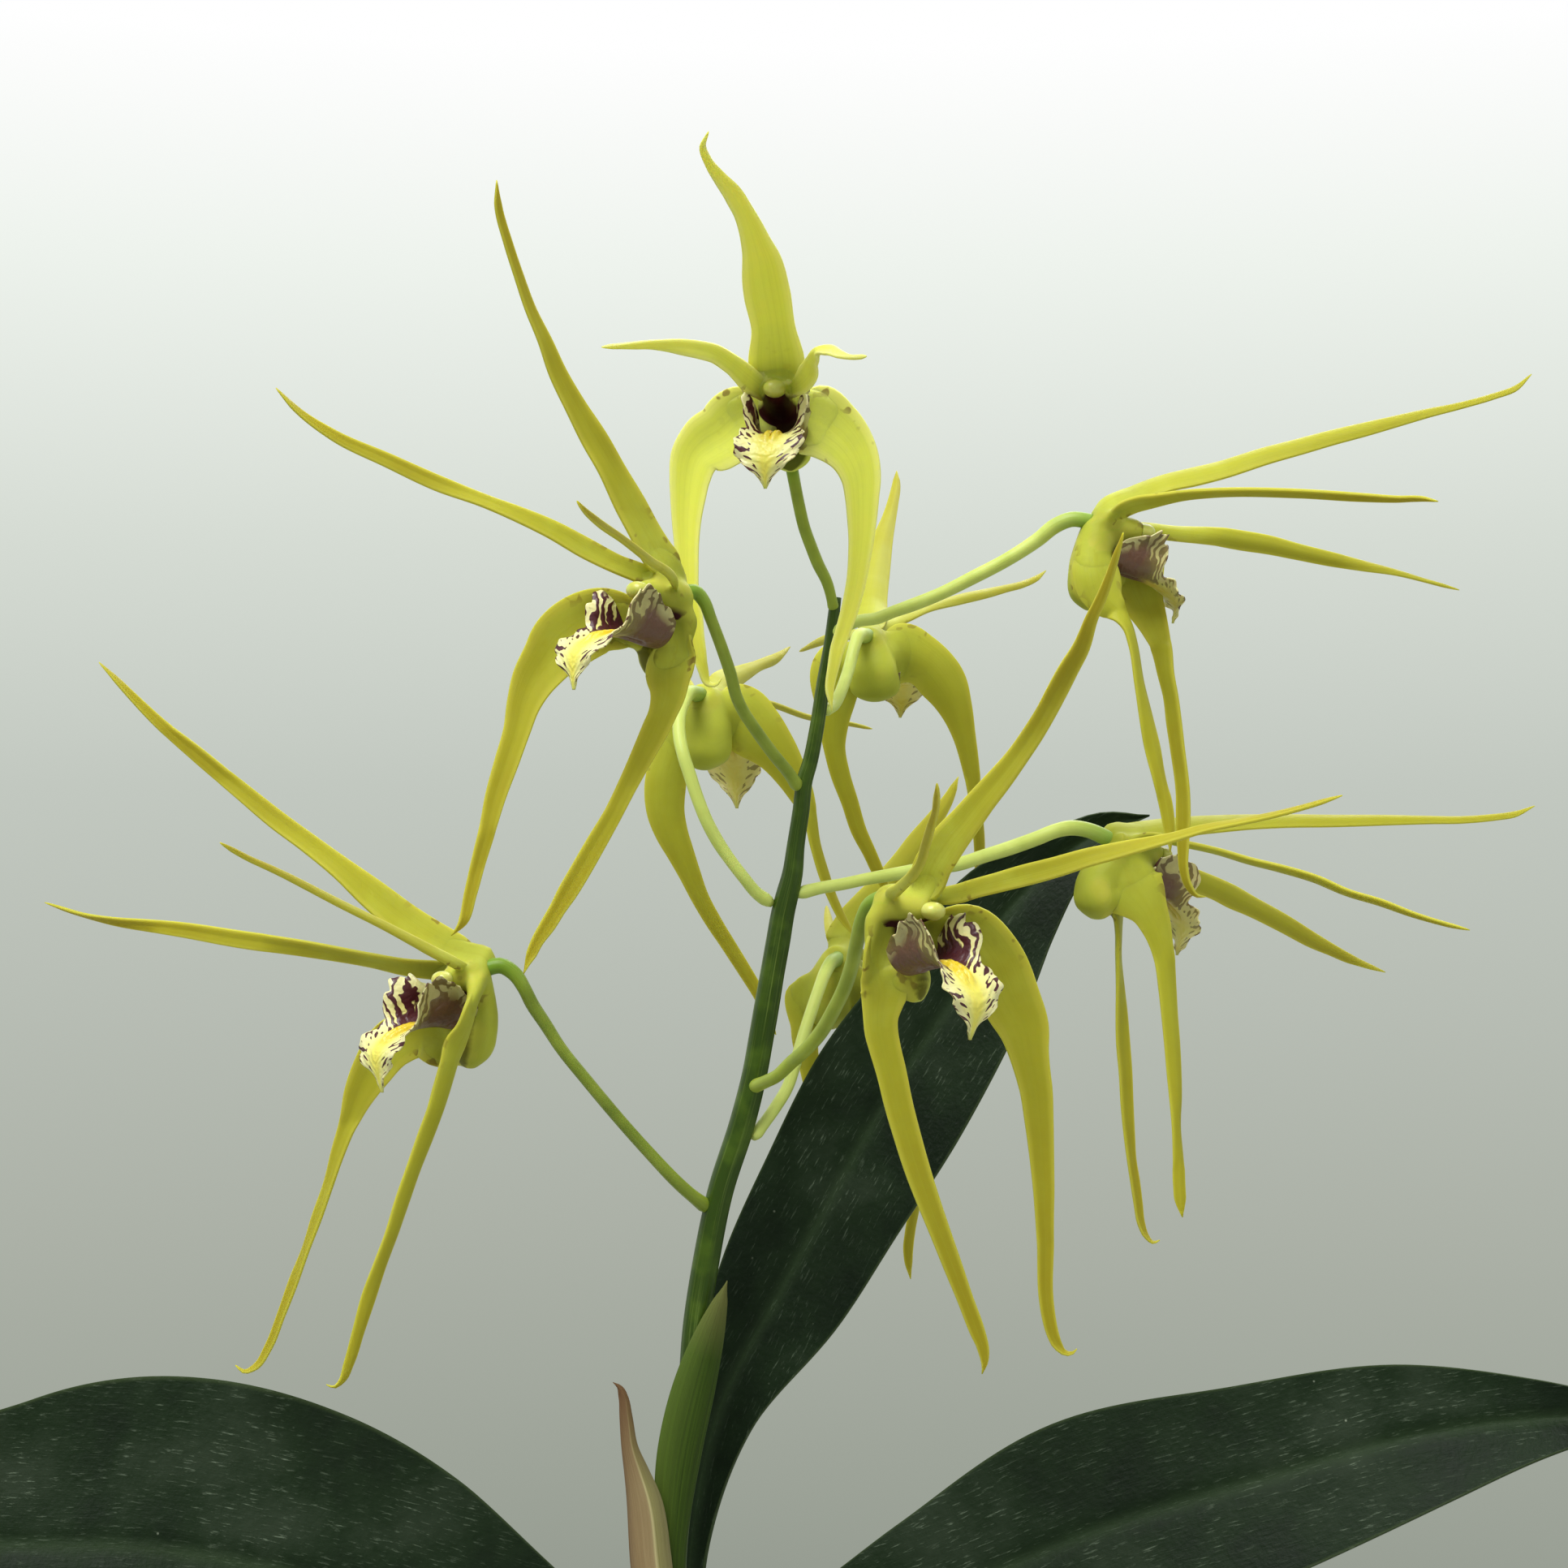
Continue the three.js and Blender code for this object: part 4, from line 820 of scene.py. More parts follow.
def root_rings(kind, sheet):
    """Fleshy root of the same sheet: thick at its start, and thinner and narrower than the sheet
    where it ends, so that it disappears inside."""
    middle, normal, a, t = sheet
    centre = middle[:, len(a) // 2][:, None]
    middle = centre + (middle - centre) * (1 - ROOT_NARROWING * ease(t / ROOT_PART))[:, None, None]
    flesh = 0.45 + ROOT_FLESH[kind] * np.exp(-((t / ROOT_PART / 0.55) ** 2))
    thickness = flesh[:, None] * (0.35 + 0.65 * np.sqrt(1 - 0.96 * a**2))[None]
    part = t < ROOT_PART
    u = np.repeat((0.5 + 0.5 * a)[None], part.sum(), axis=0)
    return sheet_rings(middle[part], thickness[part], u, u, normal[part])


print("thickest sepal in millimetres:", TEPAL_THICKNESS)

# %% [markdown]
# ## Heart of the flower
# Above the lip stands the column, a short fleshy post, and behind the lip its foot runs down into
# a rounded chin. On the real flower the sepals and petals grow out of both without a seam. So the
# column, the chin and the roots of the sheets are laid out as overlapping solids, the space they
# fill together is cut into small cubes, and one skin is drawn over the filled cubes. Moving each
# point of the skin towards its neighbours then rounds the creases. Each point takes its place on
# the nearest sheet, so that the colour runs on from one to the other, and keeps how far it faces
# the lip, because dark colour is painted there: partly the flesh's own dark maroon, partly painted
# shade in the hollow behind the lip and down the chin.

# %% Column and chin
COLUMN_RADIUS = 1.75
COLUMN_PLACES = (-0.12, 0.15, 0.5, 0.8, 0.93)
COLUMN_SHAPE = (1.2, 1.3, 1.0, 0.85, 0.65)
CHIN_RADIUS = 2.5
CHIN_SHAPE = (0.7, 0.92, 1.0, 0.85, 0.3)
FACING_SHRINK = 0.22


def column_line(flower):
    """Column from behind the heart to the cap, thickest a little way in."""
    heart = seen(*flower["heart"])
    tip = seen(*flower["cap"])
    t = np.linspace(COLUMN_PLACES[0], COLUMN_PLACES[-1], 20)
    radii = np.interp(t, COLUMN_PLACES, COLUMN_SHAPE) * COLUMN_RADIUS
    return heart + (tip - heart) * t[:, None], radii


def chin_line(flower):
    """Chin from the heart down through its two measured places, ending round. It is a little
    slimmer in a flower that faces the eye."""
    heart, face = flower_frame(flower)[:2]
    middle, low = (seen(*spot) for spot in flower["chin"])
    end = low + (low - middle) * 0.35
    points = [heart + (middle - heart) * t for t in (-0.1, 0.5)] + [middle, low, end]
    size = CHIN_RADIUS * (1 - FACING_SHRINK * max(-face[1], 0))
    keyed = [(*point, radius * size) for point, radius in zip(points, CHIN_SHAPE)]
    keyed = smooth(keyed, 28)
    return keyed[:, :3], np.maximum(keyed[:, 3], 0.2)


print("widest place of bloom a's chin:", round(2 * chin_line(FLOWERS["a"])[1].max(), 2))

# %% Skin over overlapping solids
SKIN_CUBE = 0.3
SKIN_ROUNDS = 16


def skin_over(surfaces):
    """Points and faces of one skin over overlapping closed surfaces."""
    points, faces = collected(surfaces)[:2]
    mesh = bpy.data.meshes.new("overlapping")
    mesh.from_pydata(points * MM, [], faces)
    solid = bpy.data.objects.new("overlapping", mesh)
    bpy.context.scene.collection.objects.link(solid)
    cubes = solid.modifiers.new("cubes", "REMESH")
    cubes.mode, cubes.voxel_size = "VOXEL", SKIN_CUBE * MM
    bpy.context.view_layer.update()
    skin = bpy.data.meshes.new_from_object(solid.evaluated_get(bpy.context.evaluated_depsgraph_get()))
    bpy.data.objects.remove(solid)
    spots = np.empty(3 * len(skin.vertices))
    skin.vertices.foreach_get("co", spots)
    spots = spots.reshape(-1, 3) / MM
    ends = np.empty(2 * len(skin.edges), np.int32)
    skin.edges.foreach_get("vertices", ends)
    ends = ends.reshape(-1, 2)
    one, other = np.concatenate([ends[:, 0], ends[:, 1]]), np.concatenate([ends[:, 1], ends[:, 0]])
    number = np.bincount(one, minlength=len(spots))[:, None]
    for _ in range(SKIN_ROUNDS):
        total = [np.bincount(one, spots[other, k], len(spots)) for k in range(3)]
        spots = (spots + np.stack(total, -1) / number) / 2
    return skin, spots


print("cubes per millimetre:", round(1 / SKIN_CUBE, 1))

# %% Heart
CHIN_SPREAD = 0.3
SHEET_REACH = 0.8
PLAIN_SIDE = 0.4


def place_on_sheets(spots, sheets):
    """Place across and along the nearest sheet, and which side of it a point lies on. All three
    fade to a plain value with the distance from the sheet."""
    rows = int(TEPAL_ROWS * 1.5 * ROOT_PART)
    points = np.concatenate([middle[:rows].reshape(-1, 3) for middle, normal, a, t in sheets])
    aside = np.concatenate([np.tile(a, rows) for middle, normal, a, t in sheets])
    ahead = np.concatenate([np.repeat(t[:rows], len(a)) for middle, normal, a, t in sheets])
    faces = np.concatenate([np.repeat(normal[:rows], len(a), axis=0) for middle, normal, a, t in sheets])
    square = (spots**2).sum(axis=1)[:, None] - 2 * spots @ points.T + (points**2).sum(axis=1)[None]
    near = square.argmin(axis=1)
    gap = spots - points[near]
    weight = np.exp(-((np.maximum(np.linalg.norm(gap, axis=1) - SHEET_REACH, 0) / SHEET_REACH) ** 2))
    side = PLAIN_SIDE + (np.abs(aside[near]) - PLAIN_SIDE) * weight
    across = 0.5 + 0.5 * np.where(aside[near] < 0, -side, side)
    inner = 0.5 + 0.5 * weight * np.clip((gap * faces[near]).sum(axis=1) / 0.3, -1, 1)
    return across, ahead[near] * weight, inner


def make_heart(name, flower, sheets, roots, material):
    """The blended heart of one flower, with how far each point faces the lip and how far down the
    chin it lies, both read from the nearest place on the line of the column or the chin."""
    face, right, up = flower_frame(flower)[1:]
    post, post_radii = column_line(flower)
    chin, chin_radii = chin_line(flower)
    wide = tube_rings(chin, chin_radii, 24)
    aside = (wide["points"] - chin[:, None]) @ right
    wide["points"] = wide["points"] + CHIN_SPREAD * aside[..., None] * right
    skin, spots = skin_over([tube_rings(post, post_radii, 24), wide, *roots])
    line = np.concatenate([post, chin])
    radii = np.concatenate([post_radii, chin_radii])
    toward = np.concatenate([np.repeat(-up[None], len(post), 0), np.repeat(face[None], len(chin), 0)])
    down = np.concatenate([np.zeros(len(post)), np.linspace(0, 1, len(chin))])
    gap = np.linalg.norm(spots[:, None] - line[None], axis=2) / radii
    near = gap.argmin(axis=1)
    facing = 0.5 + 0.5 * (unit(spots - line[near]) * toward[near]).sum(axis=1)
    facing = facing * (1 - ease((gap.min(axis=1) - 1.2) / 0.4))
    skin.vertices.foreach_set("co", (spots * MM).ravel())
    across, along, inner = place_on_sheets(spots, sheets)
    values = {"facing": facing, "down": down[near], "inner": inner, "across": across, "along": along}
    piece = dressed(name, skin, values, material)
    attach(piece, "root")
    return len(skin.polygons)

# %% [markdown]
# ## Lip
# The lip is the richest piece: a sheet whose side lobes stand up beside the column like the walls
# of a gutter and whose front lobe opens flat, with a frilled margin and a tip that turns down. It
# is laid out flat first, with the half width and the bend read along it, and then rolled: the
# sheet follows a circle up to the angle of its walls and goes straight on from there. A low
# yellow ridge runs along the middle.

# %% The lip's sheet
LIP_PLACES = (0, 0.08, 0.2, 0.3, 0.4, 0.49, 0.57, 0.7, 0.8, 0.88, 0.94, 1)
LIP_WIDTH = (4.4, 6.2, 7.5, 7.0, 5.2, 3.3, 3.9, 3.8, 2.9, 1.5, 0.65, 0.15)
LIP_BEND = (0.9, 1.0, 1.0, 1.0, 0.85, 0.55, 0.25, 0.05, -0.05, 0.0, 0.0, 0.0)
LIP_RADIUS = 2.7
WALL_ANGLE = 1.5
FLARE = 0.7
LIP_ROWS = 96
LIP_HALF = 34
LIP_SHEET = 0.45
LOBES_END = 0.5
FRILL = 0.34
FRILL_WAVES = 36
LOBE_FRILL = 0.25
LOBE_WAVES = 44
LEAN_AHEAD = 0.32
ROUGH_MARGIN = 0.035
RAG_WAVES = (61, 97)
KEEL = 0.55


def lip_rings(flower, phase):
    """Lip: from the midline outwards the sheet climbs at an angle that is the flat distance times
    the bend over the lip radius, up to the wall angle, and leans out again at the margin of the
    side lobes. Summing the cosine and sine of that angle over small steps gives the places. The
    margin is ragged and, on the front lobe, frilled by sines of the place along."""
    right = flower_frame(flower)[2]
    line = smooth([seen(*spot) for spot in flower["lip"]], LIP_ROWS)
    t = np.linspace(0, 1, LIP_ROWS)
    keys = np.array(LIP_PLACES)
    shape = smooth(np.stack([keys * 10, LIP_WIDTH, LIP_BEND], -1), 400, keys=1)
    wide = np.maximum(np.interp(t * 10, shape[:, 0], shape[:, 1]), 0.2)[:, None]
    bend = np.interp(t * 10, shape[:, 0], shape[:, 2])[:, None]
    a = np.linspace(0, 1, LIP_HALF)[None]
    front = (ease((t - LOBES_END) / 0.1) * (1 - ease((t - 0.92) / 0.06)))[:, None]
    side = (ease((LOBES_END - t) / 0.12) * ease(t / 0.1))[:, None]
    sides = []
    for hand in (-1, 1):
        rag = np.sin(RAG_WAVES[0] * t + phase + hand)
        rag = rag + 0.7 * np.sin(RAG_WAVES[1] * t + 2 * phase - hand)
        flat = a * wide * (1 + ROUGH_MARGIN * rag[:, None] * a**4)
        angle = np.clip(flat * bend / LIP_RADIUS, -0.7, WALL_ANGLE)
        angle = angle - FLARE * side * ease((a - 0.68) / 0.32)
        step = np.diff(flat, axis=1, prepend=0)
        out = np.cumsum(np.cos(angle) * step, axis=1) * hand
        rise = np.cumsum(np.sin(angle) * step, axis=1)
        rise = rise + FRILL * front * a**4 * np.sin(FRILL_WAVES * t[:, None] + phase + 2 * hand)
        out = out + LOBE_FRILL * side * a**5 * np.sin(LOBE_WAVES * t[:, None] + phase - hand)
        sides.append((out, rise, flat))
    out, rise, flat = (np.concatenate([l[:, :0:-1], r], axis=1) for l, r in zip(*sides))
    a = np.linspace(-1, 1, 2 * LIP_HALF - 1)[None]
    keel = ease((t - 0.12) / 0.1) * (1 - ease((t - 0.56) / 0.1))
    rise = rise + KEEL * keel[:, None] * np.exp(-((flat - 0.45) ** 2) / 0.08)
    way = unit(np.gradient(line, axis=0))
    lift = unit(np.cross(right, way))
    middle = line[:, None] + right * out[..., None] + lift[:, None] * rise[..., None]
    ahead = unit(line[LIP_ROWS // 2] - line[0])
    middle = middle + LEAN_AHEAD * (side * np.maximum(flat - 1.5, 0))[..., None] * ahead
    thickness = LIP_SHEET * (0.35 + 0.65 * np.sqrt(1 - 0.98 * a**2)) * (1 - 0.4 * t[:, None])
    u = np.repeat(0.5 + 0.5 * a, LIP_ROWS, axis=0)
    v = np.repeat(t[:, None], u.shape[1], axis=1)
    rings = sheet_rings(middle, thickness, u, v, lift)
    rings["flat"] = np.concatenate([flat, flat[:, ::-1]], axis=1)
    return rings


print("rows and columns of a lip:", LIP_ROWS, 2 * LIP_HALF - 1)

# %% [markdown]
# ## Cap
# A small loose cap closes the end of the column, over the pollen. It is a tube too, so the same
# function closes it: its radius follows half an ellipse, and it is pressed a little flat.

# %% Cap
CAP_START = 0.88
CAP_RADIUS = 1.35
CAP_LENGTH = 1.8
CAP_FLATNESS = 0.25


def cap_rings(flower):
    """Anther cap: a dome whose radius follows half an ellipse, wider than it is long."""
    heart, face, up = np.array(flower_frame(flower))[[0, 1, 3]]
    tip = seen(*flower["cap"])
    start = heart + (tip - heart) * CAP_START
    t = np.linspace(0, 1, 18)
    radii = CAP_RADIUS * np.sqrt(np.clip(1 - (np.abs(t - 0.32) / 0.7) ** 2.4, 0.004, 1))
    rings = tube_rings(start + face * (t * CAP_LENGTH)[:, None], radii, 24)
    height = (rings["points"] - start) @ up
    rings["points"] = rings["points"] - CAP_FLATNESS * height[..., None] * up
    return rings


print("cap in millimetres:", 2 * CAP_RADIUS, "wide", CAP_LENGTH, "long")
# %% [markdown]
# ## The arching stem
# The flower stem rises from the sheath at the cane's top and leans to the right as it climbs.
# Nine stalks leave it, each curving over to hold its bloom. All are tubes along lines measured in
# the photograph, with the radius taken from the seen width. A stalk swells a little at its root
# and again where it joins its bloom.

# %% Stem and stalks
# Paleness of each stalk: partly its own paler green, partly painted light on the brighter stalks and
# painted shade on the darker ones
STALK_PALENESS_AND_LIGHT = (0.55, 0.5, 0.42, 0.95, 0.95, 0.6, 1.0, 1.0, 1.0)
STEM_SIDES = 28
STEM_RIBS = 7
RIB_HEIGHT = 0.02
ROOT_SWELLING = 0.25


def stem_line(path, rows):
    """Line and radius of a stalk from pixels, depths and seen widths."""
    px, py, depth, width = np.array(path, float).T
    keyed = np.column_stack([seen(px, py, depth), width * pixel(depth) / 2])
    keyed = smooth(keyed, rows)
    return keyed[:, :3], keyed[:, 3]


def stem_rings():
    """The main stem with faint ribs and the nine stalks, each swollen at its root."""
    surfaces = []
    line, radii = stem_line(RACHIS, 220)
    angle = np.linspace(0, 2 * np.pi, STEM_SIDES, endpoint=False)
    ribs = 1 + RIB_HEIGHT * np.cos(STEM_RIBS * angle)[None]
    rings = tube_rings(line, radii, STEM_SIDES, ribs)
    rings["pale"] = 0.0
    surfaces.append(rings)
    for path, pale in zip(PEDICELS, STALK_PALENESS_AND_LIGHT):
        line, radii = stem_line(path, 70)
        t = np.linspace(0, 1, len(line))
        swelling = ROOT_SWELLING * np.exp(-((t / 0.05) ** 2))
        radii = radii * (1 + swelling - 0.6 * np.exp(-((t / 0.015) ** 2)))
        rings = tube_rings(line, radii, 20)
        rings["pale"] = pale
        surfaces.append(rings)
    return surfaces


print("tubes of the stem:", len(stem_rings()))

# %% [markdown]
# ## Leaves, sheath and dry bract
# Three thick leaves end the cane. A leaf is a broad sheet with a fold along its midrib, margins
# that thin out and slow waves. The sheath that wraps the foot of the flower stem and the dry
# bract beside it are narrow sheets, rolled more strongly round the stem.

# %% Blades
def blade_rings(path, depth, inner, thickness, channel, lean=0, rows=90, columns=41, wave=0.0, fold=0.0):
    """Blade: line plus half width times the place across, lifted by a channel (place across
    squared), lowered in a narrow fold at the midrib, and waved slowly along its margins."""
    depths = (depth[0], *depth)
    line, half, normal, a, t = seen_sheet(path, depths, (0.1, 0.1), 1, lean, rows, columns)
    if normal[0] @ inner < 0:
        normal = -normal
    size = np.linalg.norm(half, axis=1)[:, None, None]
    across = a[None, :, None]
    lift = channel * size * across**2
    lift = lift - fold * np.exp(-((across * size / 1.1) ** 2))
    lift = lift + wave * across * np.abs(across) * np.sin(7 * t[:, None, None] + 1.3 * across)
    middle = line[:, None] + half[:, None] * across + normal[:, None] * lift
    thin = 0.3 + 0.7 * np.sqrt(1 - 0.97 * a**2)
    thick = thickness * thin[None] * ((1 - 0.35 * t) * (0.1 + 0.9 * tip_share(t)))[:, None]
    u = np.repeat((0.5 + 0.5 * a)[None], rows, axis=0)
    v = np.repeat(t[:, None], columns, axis=1)
    rings = sheet_rings(middle, thick, u, v, normal)
    reach = a[None] * size[:, :, 0]
    rings["reach"] = np.concatenate([reach, reach[:, ::-1]], axis=1)
    return rings


# %% [markdown]
# ## Canes
# The canes are fleshy clubs, slim at the foot and thickest two thirds of the way up, with a ring
# at each joint where an old sheath came away. The radius is a club curve times a narrow bump at
# each joint, with shallow flutes between the joints.

# %% Club canes
RING_SPACING = 23
CANE_SIDES = 44
ROWS_PER_JOINT = 26
FLUTES = 9
FLUTE_DEPTH = 0.03


def cane_rings(foot, top, radius, seed):
    """Cane: radius times (0.56 plus 0.44 sine of pi times the place to the power 1.5), with a
    ridge and a groove at each joint and flutes that fade towards the joints."""
    foot, top = np.array(foot, float), np.array(top, float)
    length = np.linalg.norm(top - foot)
    joints = max(round(length / RING_SPACING), 3)
    t = np.linspace(0, 1, joints * ROWS_PER_JOINT)
    club = 0.56 + 0.44 * np.sin(np.pi * t**1.5)
    local = (t * joints) % 1
    near = np.minimum(local, 1 - local) * RING_SPACING
    ridge = 0.055 * np.exp(-((near / 0.9) ** 2)) - 0.03 * np.exp(-(((near - 1.9) / 0.8) ** 2))
    swell = 0.035 * np.sin(np.pi * local) ** 0.7
    end = np.sqrt(np.clip((1 - t) * length / 2.2, 0.02, 1))
    radii = radius * (club * (0.95 + ridge + swell)) * end
    angle = np.linspace(0, 2 * np.pi, CANE_SIDES, endpoint=False)
    flutes = 1 + FLUTE_DEPTH * np.sin(np.pi * local)[:, None] * np.cos(FLUTES * angle + seed)[None]
    rings = tube_rings(foot + (top - foot) * t[:, None], radii, CANE_SIDES, flutes)
    rings["joint"] = np.repeat(np.exp(-((near / 1.3) ** 2))[:, None], CANE_SIDES, axis=1)
    rings["reach"] = np.repeat((t * length)[:, None], CANE_SIDES, axis=1)
    return rings


print("millimetres between joint rings:", RING_SPACING)
# %% [markdown]
# ## Pot
# The pot stands below the picture's edge, so it is a plain one: thrown clay, a thick band round
# the rim, three drain holes. It is a profile turned about the upright axis, with the corners of
# the profile rounded. The holes are cut with a Boolean, whose result is read back as a mesh.

# %% Turned profile
POT_HEIGHT = 97.0
POT_TOP = 61.5
POT_BASE = 42.0
BARK_LEVEL = 83.0


def rounded(profile, steps=5, share=0.22, most=2.2):
    """Profile whose corners are replaced by arcs: each new point is a quadratic curve from a
    little before the corner to a little after it."""
    profile = np.asarray(profile, float)
    points = [profile[:1]]
    for before, corner, after in zip(profile[:-2], profile[1:-1], profile[2:]):
        back, ahead = before - corner, after - corner
        reach_back = min(np.linalg.norm(back) * share, most)
        reach_ahead = min(np.linalg.norm(ahead) * share, most)
        a = corner + back / np.linalg.norm(back) * reach_back
        b = corner + ahead / np.linalg.norm(ahead) * reach_ahead
        t = np.linspace(0, 1, steps)[:, None]
        points.append((1 - t) ** 2 * a + 2 * t * (1 - t) * corner + t**2 * b)
    points.append(profile[-1:])
    return np.concatenate(points)


def turned_rings(profile, sides):
    """Profile of radii and heights turned about the upright axis."""
    angle = np.linspace(0, 2 * np.pi, sides, endpoint=False)
    radius, height = profile[:, 0, None], profile[:, 1, None]
    points = np.stack(np.broadcast_arrays(radius * np.cos(angle), radius * np.sin(angle), height), -1)
    v = np.repeat(np.linspace(0, 1, len(profile))[:, None], sides, axis=1)
    u = np.repeat((angle / (2 * np.pi))[None], len(profile), axis=0)
    return {"points": points, "across": u, "along": v}


def subdivided(profile, longest=6.0):
    """The profile with long runs split, so that faces stay even."""
    points = [profile[0]]
    for a, b in zip(profile[:-1], profile[1:]):
        parts = max(int(np.ceil(np.linalg.norm(b - a) / longest)), 1)
        points += [a + (b - a) * k / parts for k in range(1, parts + 1)]
    return np.array(points)


print("pot in millimetres:", 2 * POT_TOP, "wide,", POT_HEIGHT, "high, filled to", BARK_LEVEL)

# %% [markdown]
# ## Bark
# The canes stand in a domed bed of coarse bark, chips four to thirteen millimetres across. About a
# hundred and seventy lie there, so each is a rounded block of few faces, turned its own way.

# %% Bark chip
CHIP_PLACES = (-1, -0.94, -0.55, 0.1, 0.6, 0.93, 1.0)
CHIP_BODY = (0.45, 0.82, 1.0, 0.96, 1.0, 0.8, 0.4)
CHIP_SIDES = 8
CHIP_POWER = 0.55
CHIP_ROUGHNESS = 0.16


def chip_rings(centre, size, turn, seed):
    """Bark chip: a block whose cross-section is a circle drawn out to the power 0.55 towards a
    square, tapered at both ends, its points moved by a few sines so no two look alike."""
    t = np.array(CHIP_PLACES)[:, None]
    body = np.array(CHIP_BODY)[:, None]
    angle = np.linspace(0, 2 * np.pi, CHIP_SIDES, endpoint=False) + 0.39
    way = np.stack([np.cos(angle), np.sin(angle)])
    square = np.sign(way) * np.abs(way) ** CHIP_POWER
    rough = 1 + CHIP_ROUGHNESS * np.sin(seed * 7 + 3 * t + 2.3 * angle)
    y = square[0] * body * rough * size[1] / 2
    z = square[1] * body * rough * size[2] / 2
    x = t * size[0] / 2 * (1 + 0.12 * np.sin(seed * 5 + angle))
    points = np.stack([x, y, z], -1) @ turn.T + centre
    tone = np.full(x.shape, (seed * 0.618) % 1)
    return {"points": points, "across": x * 0 + 0.5, "along": x * 0 + 0.5, "tone": tone}


def turning(roll, pitch, heading):
    """Turn about X, then Y, then Z as one matrix."""
    cr, cp, ch = np.cos([roll, pitch, heading])
    sr, sp, sh = np.sin([roll, pitch, heading])
    about_x = np.array([[1, 0, 0], [0, cr, -sr], [0, sr, cr]])
    about_y = np.array([[cp, 0, sp], [0, 1, 0], [-sp, 0, cp]])
    about_z = np.array([[ch, -sh, 0], [sh, ch, 0], [0, 0, 1]])
    return about_z @ about_y @ about_x


print("points of a bark chip:", len(CHIP_PLACES) * CHIP_SIDES)
# %% [markdown]
# ## Finishes
# Each finish starts from what the real surface is. One function turns the hex colours of a
# colour picker into the linear numbers a shader works with, and one adds a node with its settings
# and links. Patterns are laid out on the pieces' own UV map or on their place in millimetres, so
# they stay put when the eye moves.

# %% Colours and nodes
def linear(code):
    """Hex colour as linear red, green, blue: up to 0.04045 the value over 12.92, above it (value
    plus 0.055) over 1.055 to the power 2.4."""
    value = np.array([int(code[i : i + 2], 16) for i in (1, 3, 5)]) / 255
    low = value / 12.92
    high = ((value + 0.055) / 1.055) ** 2.4
    return (*np.where(value <= 0.04045, low, high).tolist(), 1.0)


def feed(tree, node, inputs):
    """Sets a node's inputs. Each is a plain value, a hex colour, an output to link or a node, which
    stands for the first of its outputs in use."""
    for key, value in inputs.items():
        socket = node.inputs[key]
        if isinstance(value, bpy.types.Node):
            value = next(output for output in value.outputs if output.enabled)
        if isinstance(value, bpy.types.NodeSocket):
            tree.links.new(value, socket)
        else:
            socket.default_value = linear(value) if isinstance(value, str) else value


def add(tree, kind, inputs=None, stops=None, **settings):
    """Adds a node with its settings, its inputs and, for a colour ramp, its stops."""
    node = tree.nodes.new("ShaderNode" + kind)
    for name, value in settings.items():
        setattr(node, name, value)
    if stops:
        ramp = node.color_ramp
        while len(ramp.elements) < len(stops):
            ramp.elements.new(1.0)
        for element, (place, code) in zip(ramp.elements, stops):
            element.position = place
            element.color = linear(code)
    feed(tree, node, inputs or {})
    return node


print("half grey as linear light:", round(linear("#808080")[0], 3))

# %% What each finish starts from
def new_material(name):
    """An empty material with its node tree, surface shader and output."""
    material = bpy.data.materials.new(name)
    material.use_nodes = True
    tree = material.node_tree
    tree.nodes.clear()
    shader = add(tree, "BsdfPrincipled")
    add(tree, "OutputMaterial", {"Surface": shader})
    return material, tree, shader


def places(tree):
    """The piece's own two directions, each of the two by itself, and the place on the object."""
    surface = add(tree, "UVMap", uv_map="surface")
    place = add(tree, "SeparateXYZ", {0: surface})
    return surface, place.outputs[0], place.outputs[1], add(tree, "TexCoord").outputs["Object"]


def from_middle(tree, across):
    """Distance from a sheet's midline: 0 there and 1 at the margins."""
    off = add(tree, "MapRange", {0: across, 1: 0.0, 2: 1.0, 3: -1.0, 4: 1.0})
    return add(tree, "Math", {0: off}, operation="ABSOLUTE")


def tinted(tree, colour, tint, value, span, share):
    """A tint laid over a colour: its share runs from the first number to the second while the
    value crosses the span, and stays level beyond it."""
    amount = add(tree, "MapRange", {0: value, 1: span[0], 2: span[1], 3: share[0], 4: share[1]})
    return add(tree, "Mix", {0: amount, 6: colour, 7: tint}, data_type="RGBA")
# %% [markdown]
# ## Waxy flower skin
# The sepals and petals are lime green near the heart and turn golden towards the tips, with paler
# margins, faint lengthwise veins and a few brown flecks near the base. The skin is waxy: a soft
# sheen over flesh that lets a little light through, which the subsurface weight gives.

